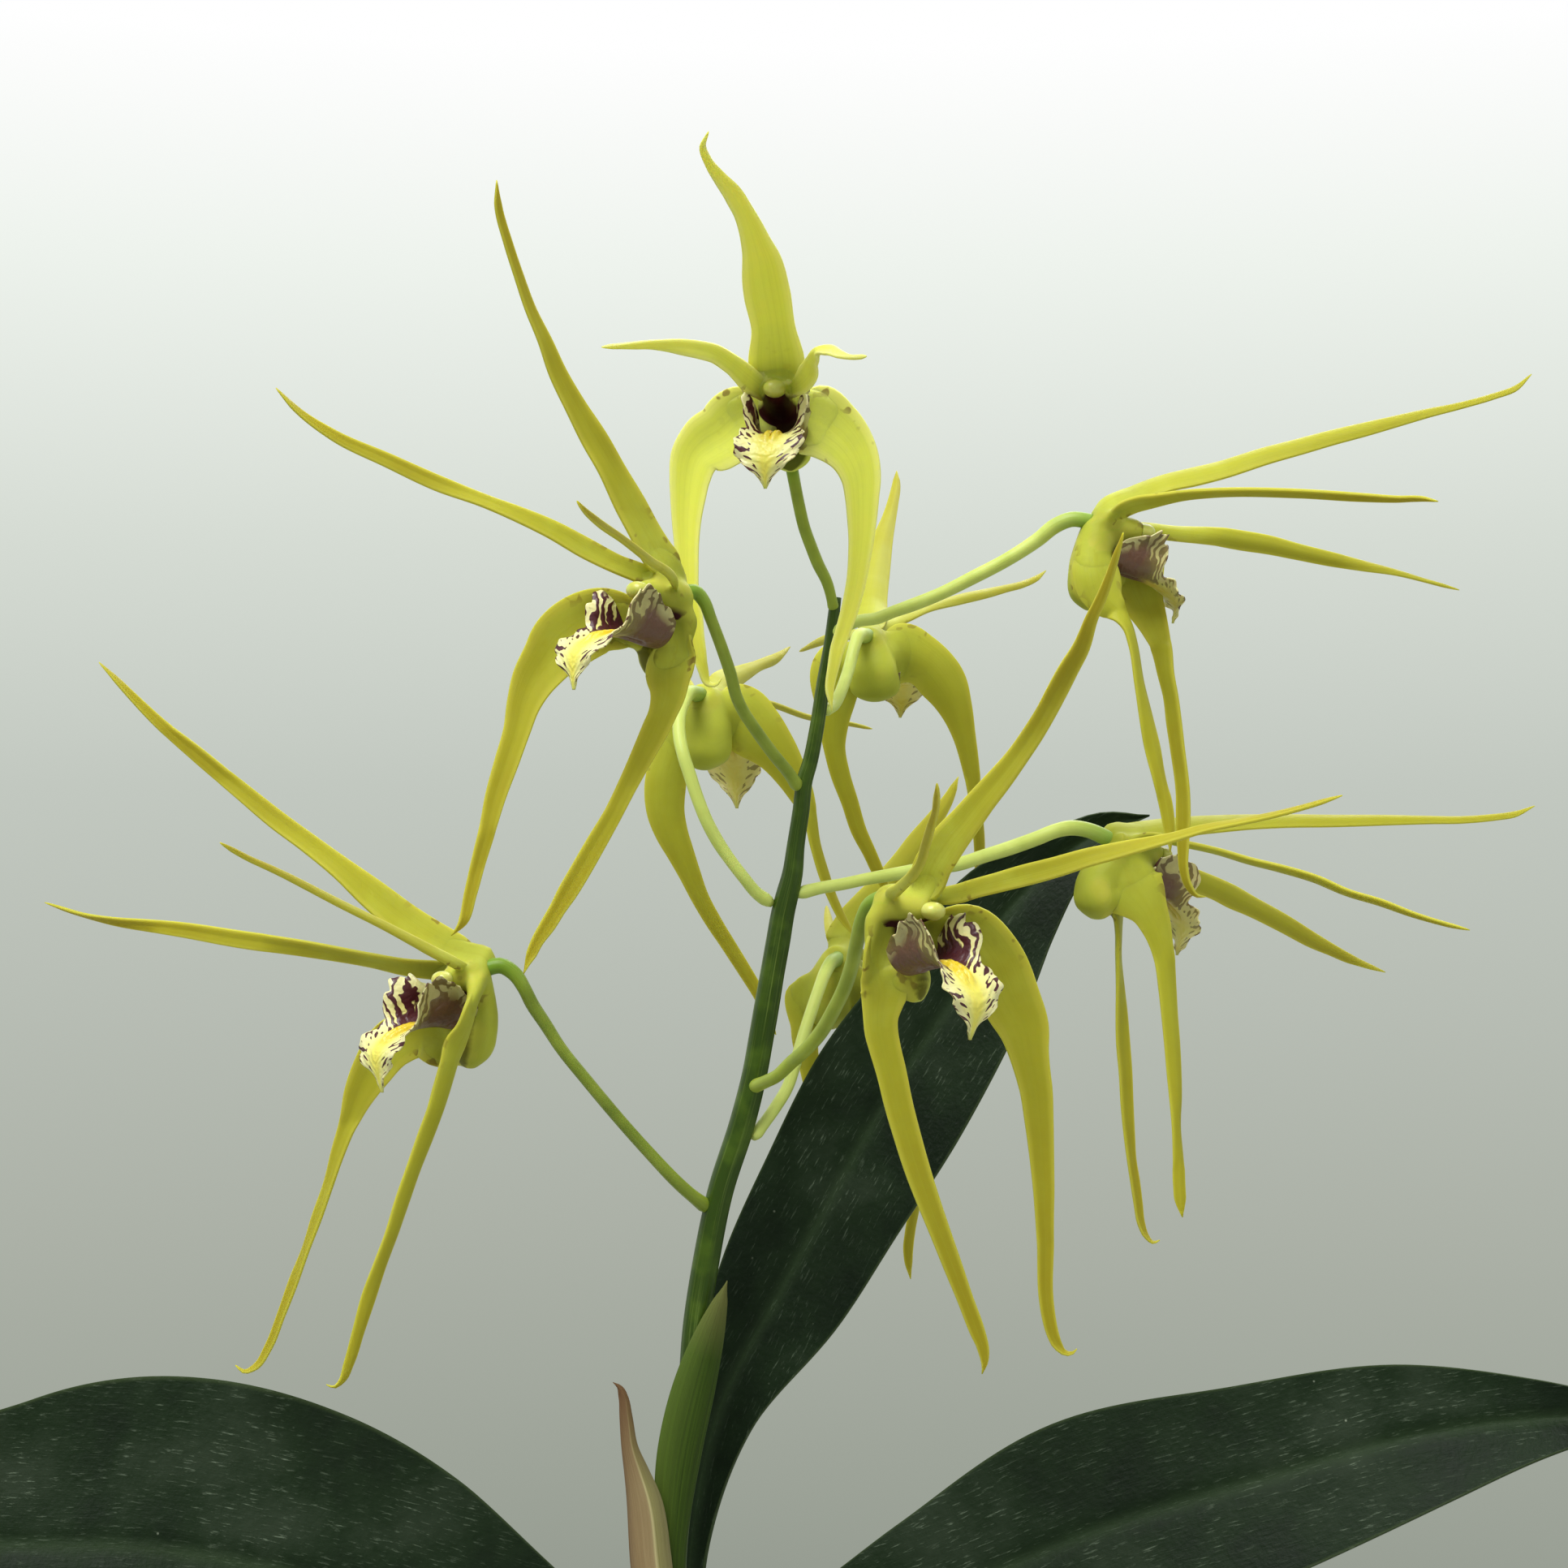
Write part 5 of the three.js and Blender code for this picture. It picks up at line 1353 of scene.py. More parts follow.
# %% Function: waxy flower skin
def flower_skin(name, base, middle, tip, edge, front=None):
    """Waxy sepal skin: the colour runs along the sheet, margins are paler, veins run lengthwise, and
    near the heart cloudy patches of painted olive shade lie over it. A front gives the two colours
    and the two limits of what faces the lip, painted dark: partly the flesh's own colour, partly
    painted shade."""
    material, tree, shader = new_material(name)
    surface, across, along, spot = places(tree)
    # Cloudy variation a few millimetres wide shifts the colour back and forth along the sheet
    cloud = add(tree, "TexNoise", {"Vector": spot, "Scale": 170.0, "Detail": 3.0, "Roughness": 0.6})
    drift = add(tree, "MapRange", {0: cloud, 1: 0.3, 2: 0.7, 3: -0.12, 4: 0.12})
    shifted = add(tree, "Math", {0: along, 1: drift}, operation="ADD")
    run = add(tree, "ValToRGB", {0: shifted}, [(0.0, base), (0.3, middle), (0.85, tip)])
    side = from_middle(tree, across)
    edged = tinted(tree, run, edge, side, (0.62, 1.0), (0.0, 0.75))
    ribbed = tinted(tree, edged, middle, side, (0.0, 0.14), (0.35, 0.0))
    # Veins: noise drawn out twenty times along the sheet
    stretched = add(tree, "VectorMath", {0: surface, 1: (22.0, 1.1, 1.0)}, operation="MULTIPLY")
    vein = add(tree, "TexNoise", {"Vector": stretched, "Scale": 1.0, "Detail": 2.0})
    veins = add(tree, "MapRange", {0: vein, 1: 0.45, 2: 0.75, 3: 0.0, 4: 0.12})
    veined = add(tree, "Mix", {0: veins, 6: ribbed, 7: "#8C9A1E"}, data_type="RGBA")
    # A few brown flecks up to a millimetre long, just beyond the heart and mostly at the margins
    dots = add(tree, "TexNoise", {"Vector": spot, "Scale": 640.0, "Detail": 1.0, "Roughness": 0.6})
    low = add(tree, "ValToRGB", {0: along}, [
        (0.03, "#000000"), (0.06, "#FFFFFF"), (0.14, "#FFFFFF"), (0.26, "#000000"),
    ])
    rim = add(tree, "MapRange", {0: side, 1: 0.6, 2: 0.9, 3: 0.1, 4: 1.0})
    where = add(tree, "Math", {0: low, 1: rim}, operation="MULTIPLY")
    fleck = add(tree, "MapRange", {0: dots, 1: 0.61, 2: 0.65, 3: 0.0, 4: 0.7})
    amount = add(tree, "Math", {0: fleck, 1: where}, operation="MULTIPLY")
    flecked = add(tree, "Mix", {0: amount, 6: veined, 7: "#6E5028"}, data_type="RGBA")
    # The back of the sheet is a little greener and duller
    inner = add(tree, "Attribute", attribute_name="inner").outputs["Fac"]
    final = tinted(tree, flecked, "#A9AE34", inner, (0.0, 1.0), (0.3, 0.0))
    # Painted shade round the heart: a deeper olive in cloudy patches half a centimetre wide, for the
    # shade in the folds of the chin
    close = add(tree, "MapRange", {0: along, 1: 0.04, 2: 0.16, 3: 1.0, 4: 0.0})
    depth = add(tree, "TexNoise", {"Vector": spot, "Scale": 170.0, "Detail": 1.0})
    deep = add(tree, "MapRange", {0: depth, 1: 0.36, 2: 0.7, 3: 0.0, 4: 0.6})
    share = add(tree, "Math", {0: close, 1: deep}, operation="MULTIPLY")
    final = add(tree, "Mix", {0: share, 6: final, 7: "#7E8626"}, data_type="RGBA")
    if front:
        # Dark towards the lip, running to olive down the chin: partly the flesh's own dark maroon, partly
        # painted shade in the hollow behind the lip and down the chin
        front_top, front_low, start, finish = front
        facing = add(tree, "Attribute", attribute_name="facing").outputs["Fac"]
        down = add(tree, "Attribute", attribute_name="down").outputs["Fac"]
        edge_place = add(tree, "Math", {0: drift, 1: 0.5, 2: facing}, operation="MULTIPLY_ADD")
        dark = add(tree, "MapRange", {0: edge_place, 1: start, 2: finish, 3: 0.0, 4: 1.0})
        lower = add(tree, "ValToRGB", {0: down}, [(0.25, front_top), (0.8, front_low)])
        final = add(tree, "Mix", {0: dark, 6: final, 7: lower}, data_type="RGBA")
    # The veins and cells of a third of a millimetre raise the skin a very little
    cells = add(tree, "TexNoise", {"Vector": spot, "Scale": 2600.0, "Detail": 2.0})
    height = add(tree, "Math", {0: cells, 1: 0.12, 2: veins}, operation="MULTIPLY_ADD")
    feed(tree, shader, {
        "Base Color": final,
        "Normal": add(tree, "Bump", {"Height": height, "Strength": 0.25, "Distance": 0.00025}),
        "Roughness": add(tree, "MapRange", {0: cloud, 1: 0.3, 2: 0.7, 3: 0.42, 4: 0.58}),
        "Subsurface Weight": 0.45, "Subsurface Radius": (1.0, 0.8, 0.1), "Subsurface Scale": 0.0015,
        "Specular IOR Level": 0.12,
    })
    return material

# %% Materials: golden and lime flowers
GOLDEN = ("#BCC248", "#AEAC30", "#A49A24", "#C2BE4A")
LIME = ("#D4DC64", "#E2E860", "#EAE862", "#F0F092")
waxy_sepal = flower_skin("waxy_sepal", *GOLDEN)
lime_sepal = flower_skin("lime_sepal", *LIME)
# The front colours are painted dark towards the lip: partly the flesh's own maroon, partly painted shade
# in the chin's hollow
heart_flesh = flower_skin("heart_flesh", *GOLDEN, front=("#3E1618", "#6E6C20", 0.84, 0.94))
lime_flesh = flower_skin("lime_flesh", *LIME, front=("#3E1618", "#5E6414", 0.6, 0.72))
print("sepal nodes:", len(waxy_sepal.node_tree.nodes))

# %% [markdown]
# ## Cap
# The cap on the end of the column is pale cream, smooth and slightly glossy.

# %% Material: anther cap
anther_cap, tree, shader = new_material("anther_cap")
spot = add(tree, "TexCoord").outputs["Object"]
grain = add(tree, "TexNoise", {"Vector": spot, "Scale": 700.0, "Detail": 3.0})
feed(tree, shader, {
    "Base Color": add(tree, "ValToRGB", {0: grain}, [(0.35, "#C4C852"), (0.65, "#D2D46E")]),
    "Normal": add(tree, "Bump", {"Height": grain, "Strength": 0.15, "Distance": 0.0003}),
    "Roughness": 0.32, "Subsurface Weight": 0.2, "Subsurface Scale": 0.001,
})
print("cap nodes:", len(tree.nodes))

# %% [markdown]
# ## Marked lip
# The side lobes are dark maroon inside, broken by cream stripes that fork towards the margin. The
# ridge in the middle is golden, and the front lobe opens to bright yellow with a pale margin
# crossed by short dark dashes. Outside, the sheet is a dull brown that pales to olive. The marks
# are laid out in the sheet's own two directions, so they follow it as it rolls.

# %% Material: marked lip
marked_lip, tree, shader = new_material("marked_lip")
surface, across, along, spot = places(tree)
side = from_middle(tree, across)
flat = add(tree, "Attribute", attribute_name="flat").outputs["Fac"]
inner = add(tree, "Attribute", attribute_name="inner").outputs["Fac"]
# Stripes a millimetre apart fan out from the lip's foot: their phase grows with the place along
# and a little with the place across, and a cloud a few millimetres wide bends and forks them
warp = add(tree, "TexNoise", {"Vector": spot, "Scale": 330.0, "Detail": 2.5, "Roughness": 0.55})
fan = add(tree, "Math", {0: side, 1: 0.2, 2: along}, operation="MULTIPLY_ADD")
bent = add(tree, "Math", {0: warp, 1: 0.34, 2: fan}, operation="MULTIPLY_ADD")
phase = add(tree, "Math", {0: bent, 1: 70.0}, operation="MULTIPLY")
ripple = add(tree, "Math", {0: phase}, operation="SINE")
broken = add(tree, "TexNoise", {"Vector": spot, "Scale": 620.0, "Detail": 1.0})
height = add(tree, "Math", {0: broken, 1: 2.6, 2: ripple}, operation="MULTIPLY_ADD")
# How high the ripple must be to show dark: always deep between the side lobes, and less than half
# the time towards their margins
lobe_bar = add(tree, "MapRange", {0: side, 1: 0.36, 2: 0.78, 3: -0.4, 4: 1.5})
lobe_mark = add(tree, "Math", {0: height, 1: lobe_bar}, operation="SUBTRACT")
# The front lobe carries short slanting dashes near its margin and none down the middle
slant = add(tree, "Math", {0: side, 1: 0.14, 2: along}, operation="MULTIPLY_ADD")
dash_place = add(tree, "CombineXYZ", {0: across, 1: slant})
dash_size = add(tree, "VectorMath", {0: dash_place, 1: (7.5, 32.0, 1.0)}, operation="MULTIPLY")
dash = add(tree, "TexNoise", {"Vector": dash_size, "Scale": 1.0, "Detail": 0.5})
dashes = add(tree, "MapRange", {0: dash, 1: 0.3, 2: 0.8, 3: -4.0, 4: 4.0})
front_bar = add(tree, "MapRange", {0: side, 1: 0.3, 2: 0.52, 3: 5.0, 4: 0.1})
front_mark = add(tree, "Math", {0: dashes, 1: front_bar}, operation="SUBTRACT")
opening = add(tree, "MapRange", {0: along, 1: 0.46, 2: 0.56, 3: 0.0, 4: 1.0})
above = add(tree, "Mix", {0: opening, 2: lobe_mark, 3: front_mark})
dark = add(tree, "MapRange", {0: above, 1: -0.12, 2: 0.2, 3: 0.0, 4: 1.0})
# Ground colour: cream at the margins, clear yellow down the middle of the front lobe
ground = add(tree, "ValToRGB", {0: side}, [(0.15, "#F0E660"), (0.45, "#F0EB8C"), (0.85, "#E8E2A4")])
marked = add(tree, "Mix", {0: dark, 6: ground, 7: "#4A1822"}, data_type="RGBA")
# Golden ridge along the middle, less than two millimetres wide
ridge = add(tree, "MapRange", {0: flat, 1: 0.8, 2: 1.5, 3: 1.0, 4: 0.0})
length = add(tree, "ValToRGB", {0: along}, [
    (0.3, "#000000"), (0.42, "#FFFFFF"), (0.52, "#FFFFFF"), (0.68, "#202020"), (0.9, "#000000"),
])
golden = add(tree, "Math", {0: ridge, 1: length}, operation="MULTIPLY")
face_colour = add(tree, "Mix", {0: golden, 6: marked, 7: "#E0C424"}, data_type="RGBA")
tipped = tinted(tree, face_colour, "#C6CC58", along, (0.93, 0.98), (0.0, 0.7))
# Outside, the marks show faintly through the skin, and a smooth brown patch covers the foot of
# each side lobe
skin = add(tree, "ValToRGB", {0: along}, [(0.1, "#8E8640"), (0.45, "#A89C58"), (0.75, "#CAC670")])
faint = add(tree, "Mix", {0: 0.5, 6: tipped, 7: skin}, data_type="RGBA")
low = add(tree, "MapRange", {0: side, 1: 0.6, 2: 0.9, 3: 1.0, 4: 0.0})
early = add(tree, "MapRange", {0: bent, 1: 0.52, 2: 0.64, 3: 1.0, 4: 0.0})
patch = add(tree, "Math", {0: low, 1: early}, operation="MULTIPLY")
final = add(tree, "Mix", {0: patch, 6: faint, 7: "#6A4A38"}, data_type="RGBA")
sided = add(tree, "Mix", {0: inner, 6: final, 7: tipped}, data_type="RGBA")
cells = add(tree, "TexNoise", {"Vector": spot, "Scale": 1800.0, "Detail": 2.0})
height = add(tree, "Math", {0: ripple, 1: 0.25, 2: cells}, operation="MULTIPLY_ADD")
feed(tree, shader, {
    "Base Color": sided,
    "Normal": add(tree, "Bump", {"Height": height, "Strength": 0.35, "Distance": 0.0003}),
    "Roughness": 0.38, "Subsurface Weight": 0.1, "Subsurface Scale": 0.0008,
})
print("lip nodes:", len(tree.nodes))

# %% [markdown]
# ## Greens
# The stem is smooth and waxy, its stalks paler than itself, the brighter ones with painted light and
# the darker ones with painted shade. The leaves are thick and almost black green, with a dull silvery
# mottle, fine pale streaks between the veins and a midrib painted lighter: partly its own paler
# tissue, partly a painted highlight.

# %% Material: waxy stem
waxy_stem, tree, shader = new_material("waxy_stem")
surface, across, along, spot = places(tree)
# Each stalk's paleness: partly its own paler green, partly painted light and painted shade for how
# brightly it is lit
pale = add(tree, "Attribute", attribute_name="pale").outputs["Fac"]
cloud = add(tree, "TexNoise", {"Vector": spot, "Scale": 260.0, "Detail": 3.0})
shift = add(tree, "MapRange", {0: cloud, 1: 0.3, 2: 0.7, 3: -0.08, 4: 0.1})
tone = add(tree, "Math", {0: pale, 1: shift}, operation="ADD")
green = add(tree, "ValToRGB", {0: tone}, [
    (0.0, "#30480A"), (0.12, "#4A6414"), (0.45, "#84962E"), (0.75, "#AEBE48"), (1.0, "#CCDA70"),
])
# A stalk is a fuller green where it joins its flower
joint = add(tree, "MapRange", {0: along, 1: 0.84, 2: 0.97, 3: 0.0, 4: 0.75})
stalk = add(tree, "Math", {0: pale, 1: 0.2}, operation="GREATER_THAN")
fuller = add(tree, "Math", {0: joint, 1: stalk}, operation="MULTIPLY")
whole = add(tree, "Mix", {0: fuller, 6: green, 7: "#6A941E"}, data_type="RGBA")
lines = add(tree, "VectorMath", {0: surface, 1: (18.0, 5.0, 1.0)}, operation="MULTIPLY")
fibre = add(tree, "TexNoise", {"Vector": lines, "Scale": 1.0, "Detail": 3.0})
streaked = tinted(tree, whole, "#9DB45C", fibre, (0.55, 0.75), (0.0, 0.3))
feed(tree, shader, {
    "Base Color": streaked,
    "Normal": add(tree, "Bump", {"Height": fibre, "Strength": 0.15, "Distance": 0.0003}),
    "Roughness": 0.4, "Specular IOR Level": 0.3, "Subsurface Weight": 0.08, "Subsurface Scale": 0.001,
})
print("stem nodes:", len(tree.nodes))

# %% Material: thick leaf
thick_leaf, tree, shader = new_material("thick_leaf")
surface, across, along, spot = places(tree)
reach = add(tree, "Attribute", attribute_name="reach").outputs["Fac"]
# Mottle of ten to twenty millimetres
mottle = add(tree, "TexNoise", {"Vector": spot, "Scale": 60.0, "Detail": 5.0, "Roughness": 0.62})
base = add(tree, "ValToRGB", {0: mottle}, [(0.36, "#101C0E"), (0.52, "#182714"), (0.68, "#283424")])
# Short pale dashes a quarter of a millimetre wide follow the veins, thicker in some places
track = add(tree, "CombineXYZ", {0: reach, 1: along})
fine = add(tree, "VectorMath", {0: track, 1: (3.2, 42.0, 1.0)}, operation="MULTIPLY")
streaks = add(tree, "TexNoise", {"Vector": fine, "Scale": 1.0, "Detail": 4.0, "Roughness": 0.7})
thick_here = add(tree, "MapRange", {0: mottle, 1: 0.42, 2: 0.6, 3: 0.12, 4: 0.6})
dashed = add(tree, "MapRange", {0: streaks, 1: 0.58, 2: 0.7, 3: 0.0, 4: 1.0})
pale_streak = add(tree, "Math", {0: dashed, 1: thick_here}, operation="MULTIPLY")
streaked = add(tree, "Mix", {0: pale_streak, 6: base, 7: "#76846F"}, data_type="RGBA")
# The midrib is painted lighter: partly its own paler tissue, partly a painted highlight along it
middle = add(tree, "Math", {0: reach}, operation="ABSOLUTE")
ribbed = tinted(tree, streaked, "#3A4C30", middle, (0.0, 1.5), (0.35, 0.0))
side = from_middle(tree, across)
rimmed = tinted(tree, ribbed, "#4E5E38", side, (0.97, 1.0), (0.0, 0.4))
# Pale specks a quarter of a millimetre wide, few and far between
dust = add(tree, "TexVoronoi", {"Vector": spot, "Scale": 330.0})
few = add(tree, "TexNoise", {"Vector": spot, "Scale": 95.0, "Detail": 2.0})
speck = add(tree, "MapRange", {0: dust.outputs["Distance"], 1: 0.03, 2: 0.06, 3: 0.6, 4: 0.0})
where = add(tree, "MapRange", {0: few, 1: 0.55, 2: 0.68, 3: 0.0, 4: 1.0})
amount = add(tree, "Math", {0: speck, 1: where}, operation="MULTIPLY")
specked = add(tree, "Mix", {0: amount, 6: rimmed, 7: "#9AA48E"}, data_type="RGBA")
grain = add(tree, "TexNoise", {"Vector": spot, "Scale": 1400.0, "Detail": 3.0})
height = add(tree, "Math", {0: streaks, 1: 0.6, 2: grain}, operation="MULTIPLY_ADD")
feed(tree, shader, {
    "Base Color": specked,
    "Normal": add(tree, "Bump", {"Height": height, "Strength": 0.3, "Distance": 0.0004}),
    "Roughness": add(tree, "MapRange", {0: mottle, 1: 0.3, 2: 0.7, 3: 0.42, 4: 0.6}),
    "Specular IOR Level": 0.1,
})
print("leaf nodes:", len(tree.nodes))

# %% [markdown]
# ## Papery and woody finishes
# Sheath, bract, canes, clay and bark share one recipe: a colour run driven by noise that is
# stretched the way the fibres run, with bump from the same noise.

# %% Function: fibrous finish
def fibrous(name, stops, stretch, rough, depth, flat=False):
    """Fibrous or grainy surface: noise stretched along the fibres picks the colour and the bump.
    A flat one is laid out on the sheet's own two directions."""
    material, tree, shader = new_material(name)
    surface, across, along, spot = places(tree)
    laid = add(tree, "VectorMath", {0: surface if flat else spot, 1: stretch}, operation="MULTIPLY")
    fibre = add(tree, "TexNoise", {"Vector": laid, "Scale": 1.0, "Detail": 6.0, "Roughness": 0.65})
    colour = add(tree, "ValToRGB", {0: fibre}, stops)
    feed(tree, shader, {
        "Base Color": colour,
        "Normal": add(tree, "Bump", {"Height": fibre, "Strength": 0.6, "Distance": depth}),
        "Roughness": rough,
    })
    return material, tree, shader, colour, across, along


# %% Material: sheath
greens = [(0.3, "#243408"), (0.55, "#364C0E"), (0.8, "#526A20")]
green_sheath, tree, shader, colour, across, along = fibrous(
    "green_sheath", greens, (16.0, 1.2, 1.0), 0.5, 0.0004, flat=True)
# Painted light makes the sheath lighter on one side, as if it faced the window, and it is dry at its beak
lighter = tinted(tree, colour, "#5A7028", across, (0.35, 0.95), (0.0, 0.75))
beaked = tinted(tree, lighter, "#7E7C46", along, (0.8, 1.0), (0.0, 0.7))
feed(tree, shader, {"Base Color": beaked, "Specular IOR Level": 0.2})
print("sheath nodes:", len(tree.nodes))

# %% [markdown]
# The bract is dry and tan on one side of its pale ridge, still olive on the other, and brown at
# its tip.

# %% Material: dry bract
tans = [(0.3, "#86724C"), (0.5, "#AC9870"), (0.75, "#C4B488")]
dry_paper, tree, shader, colour, across, along = fibrous(
    "dry_paper", tans, (20.0, 1.6, 1.0), 0.85, 0.0006, flat=True)
zones = add(tree, "ValToRGB", {0: across}, [
    (0.0, "#5C6030"), (0.3, "#7C7E3C"), (0.36, "#CCC48C"), (0.41, "#988258"), (0.8, "#8E744C"),
    (1.0, "#6A4C30"),
])
zoned = add(tree, "Mix", {0: 0.7, 6: colour, 7: zones}, data_type="RGBA")
tipped = tinted(tree, zoned, "#74502E", along, (0.6, 0.95), (0.0, 0.9))
feed(tree, shader, {"Base Color": tipped})
print("bract nodes:", len(tree.nodes))

# %% [markdown]
# The flowering cane is still green, the old ones have turned straw-coloured. Both carry pale rings
# at their joints.

# %% Materials: canes
CANE_FIBRES = (900.0, 900.0, 60.0)


def cane_finish(name, stops, rough, depth, ring):
    """Cane skin with lengthwise fibres, and the colour of its joint rings."""
    material, tree, shader, colour = fibrous(name, stops, CANE_FIBRES, rough, depth)[:4]
    joint = add(tree, "Attribute", attribute_name="joint").outputs["Fac"]
    ringed = add(tree, "Mix", {0: joint, 6: colour, 7: ring}, data_type="RGBA")
    feed(tree, shader, {"Base Color": ringed})
    return material


cane_skin = cane_finish(
    "cane_skin", [(0.3, "#66762E"), (0.5, "#8A9A4A"), (0.75, "#A8B06A")], 0.5, 0.0005, "#B8A888")
old_cane_skin = cane_finish(
    "old_cane_skin", [(0.3, "#6E6A3C"), (0.5, "#9A9460"), (0.75, "#BDB68A")], 0.65, 0.0006, "#C2B496")


print("cane nodes:", len(cane_skin.node_tree.nodes))

# %% [markdown]
# Unglazed clay is matt and slightly cloudy. Bark is matt and coarse, each chip a little lighter or
# darker than the next.

# %% Materials: clay and bark
clays = [(0.3, "#A65A36"), (0.5, "#AE6642"), (0.75, "#BC7C58")]
clay = fibrous("terracotta", clays, (240.0, 240.0, 340.0), 0.88, 0.0004)[0]
browns = [(0.3, "#2E1E14"), (0.5, "#5A3D28"), (0.75, "#8A6444")]
bark_chip, tree, shader, colour, across, along = fibrous(
    "bark_chip", browns, (420.0, 160.0, 300.0), 0.92, 0.0012)
tone = add(tree, "Attribute", attribute_name="tone").outputs["Fac"]
shade = add(tree, "MapRange", {0: tone, 3: 0.0, 4: 0.55})
toned = add(tree, "Mix", {0: shade, 6: colour, 7: "#3A2618"}, data_type="RGBA")
feed(tree, shader, {"Base Color": toned})
print("bark nodes:", len(tree.nodes))

# %% Make the blooms
for number, (letter, flower) in enumerate(FLOWERS.items()):
    skin, flesh = (lime_sepal, lime_flesh) if letter == "a" else (waxy_sepal, heart_flesh)
    phases = [number + 2.1 * k for k in range(len(flower["tepals"]))]
    sheets = [tepal_sheet(flower, *pair) for pair in zip(flower["tepals"], phases)]
    roots = [root_rings(tepal[0], sheet) for tepal, sheet in zip(flower["tepals"], sheets)]
    tepals = [tepal_rings(sheet) for sheet in sheets]
    make_piece("sepals_" + letter, tepals, skin, "bloom_" + letter)
    faces = make_heart("heart_" + letter, flower, sheets, roots, flesh)
    print("heart", letter, "faces:", faces)
    make_piece("marked_lip_" + letter, [lip_rings(flower, number)], marked_lip, "lip_" + letter)
    make_piece("dome_cap_" + letter, [cap_rings(flower)], anther_cap, "cap_" + letter)
print("blooms:", len(FLOWERS))

# %% Make the stem, leaves, sheath and bract
make_piece("flower_stem", stem_rings(), waxy_stem, "raceme_stem")
FRONT_AND_UP = np.array([0.0, -1.0, 0.4])
LEAF_THICKNESS = 1.2
LEAF_CHANNEL = 0.12
SHEATH_THICKNESS = 0.7
BRACT_THICKNESS = 0.6
ROLL = 0.35
for name, (depth, lean, path) in LEAVES.items():
    blade = blade_rings(path, depth, FRONT_AND_UP, LEAF_THICKNESS, LEAF_CHANNEL, lean, wave=0.5, fold=0.6)
    make_piece(name + "_blade", [blade], thick_leaf, name)
sheath = blade_rings(SHEATH[1], SHEATH[0], AWAY, SHEATH_THICKNESS, ROLL)
make_piece("green_sheath", [sheath], green_sheath, "peduncle_sheath")
bract = blade_rings(BRACT[1], BRACT[0], AWAY, BRACT_THICKNESS, ROLL)
make_piece("papery_bract", [bract], dry_paper, "dry_bract")
print("leaves:", len(LEAVES))

# %% Make the canes
CANES = {
    "cane_flowering": ((1, 3, 62), (-3.4, 1, 223), 6.4, cane_skin, "cane"),
    "cane_old_left": ((-17, 8, 62), (-40, 26, 176), 5.4, old_cane_skin, "old_cane"),
    "cane_old_right": ((15, 12, 62), (30, 34, 150), 5.0, old_cane_skin, "old_cane"),
}
for number, (name, (foot, top, radius, skin, slot)) in enumerate(CANES.items()):
    make_piece(name + "_club", [cane_rings(foot, top, radius, number)], skin, name)


print("canes:", len(CANES))

# %% Make the pot
RIM_HEIGHT = 20
POT_FLOOR = 7.0
NEAR_AXIS = 0.4
WALL_AT_RIM = 7
WALL_AT_FOOT = 4
BAND_START = 54.5
rim_start = POT_HEIGHT - RIM_HEIGHT
inner_top, inner_base = POT_TOP - WALL_AT_RIM, POT_BASE - WALL_AT_FOOT
profile = rounded([
    (NEAR_AXIS, 0), (POT_BASE - 1.0, 0), (POT_BASE, 1.5), (BAND_START, rim_start - 1),
    (POT_TOP - 2, rim_start), (POT_TOP, POT_HEIGHT - 2), (POT_TOP - 1.5, POT_HEIGHT),
    (inner_top + 1, POT_HEIGHT), (inner_top, POT_HEIGHT - 1), (inner_base, POT_FLOOR),
    (NEAR_AXIS, POT_FLOOR),
])
pot = make_piece("clay_pot", [turned_rings(subdivided(profile), 128)], clay, "pot")
print("pot profile points:", len(profile))

# %% Cut its drain holes
DRAINS = 3
DRAIN_RADIUS = 5.0
DRAIN_CIRCLE = 22
DRAIN_TURN = 0.4
DRAIN_SPAN = (-9.0, 16.0)
low, high = DRAIN_SPAN
bore = np.array([(0.2, low), (DRAIN_RADIUS, low), (DRAIN_RADIUS, high), (0.2, high)])
for k in range(DRAINS):
    angle = 2 * np.pi * k / DRAINS + DRAIN_TURN
    hole = turned_rings(bore, 32)
    hole["points"] = hole["points"] + DRAIN_CIRCLE * np.array([np.cos(angle), np.sin(angle), 0])
    points, quads, fans = closed_rings(hole)[:3]
    mesh = bpy.data.meshes.new("drain_hole")
    mesh.from_pydata(points * MM, [], quads.tolist() + fans.tolist())
    cutter = bpy.data.objects.new("drain_hole", mesh)
    bpy.context.scene.collection.objects.link(cutter)
    boolean = pot.modifiers.new("drain", "BOOLEAN")
    boolean.operation, boolean.object, boolean.solver = "DIFFERENCE", cutter, "EXACT"
    bpy.context.view_layer.update()
    evaluated = pot.evaluated_get(bpy.context.evaluated_depsgraph_get())
    drilled = bpy.data.meshes.new_from_object(evaluated)
    pot.modifiers.clear()
    pot.data = drilled
    bpy.data.objects.remove(cutter)
print("pot faces:", len(pot.data.polygons))

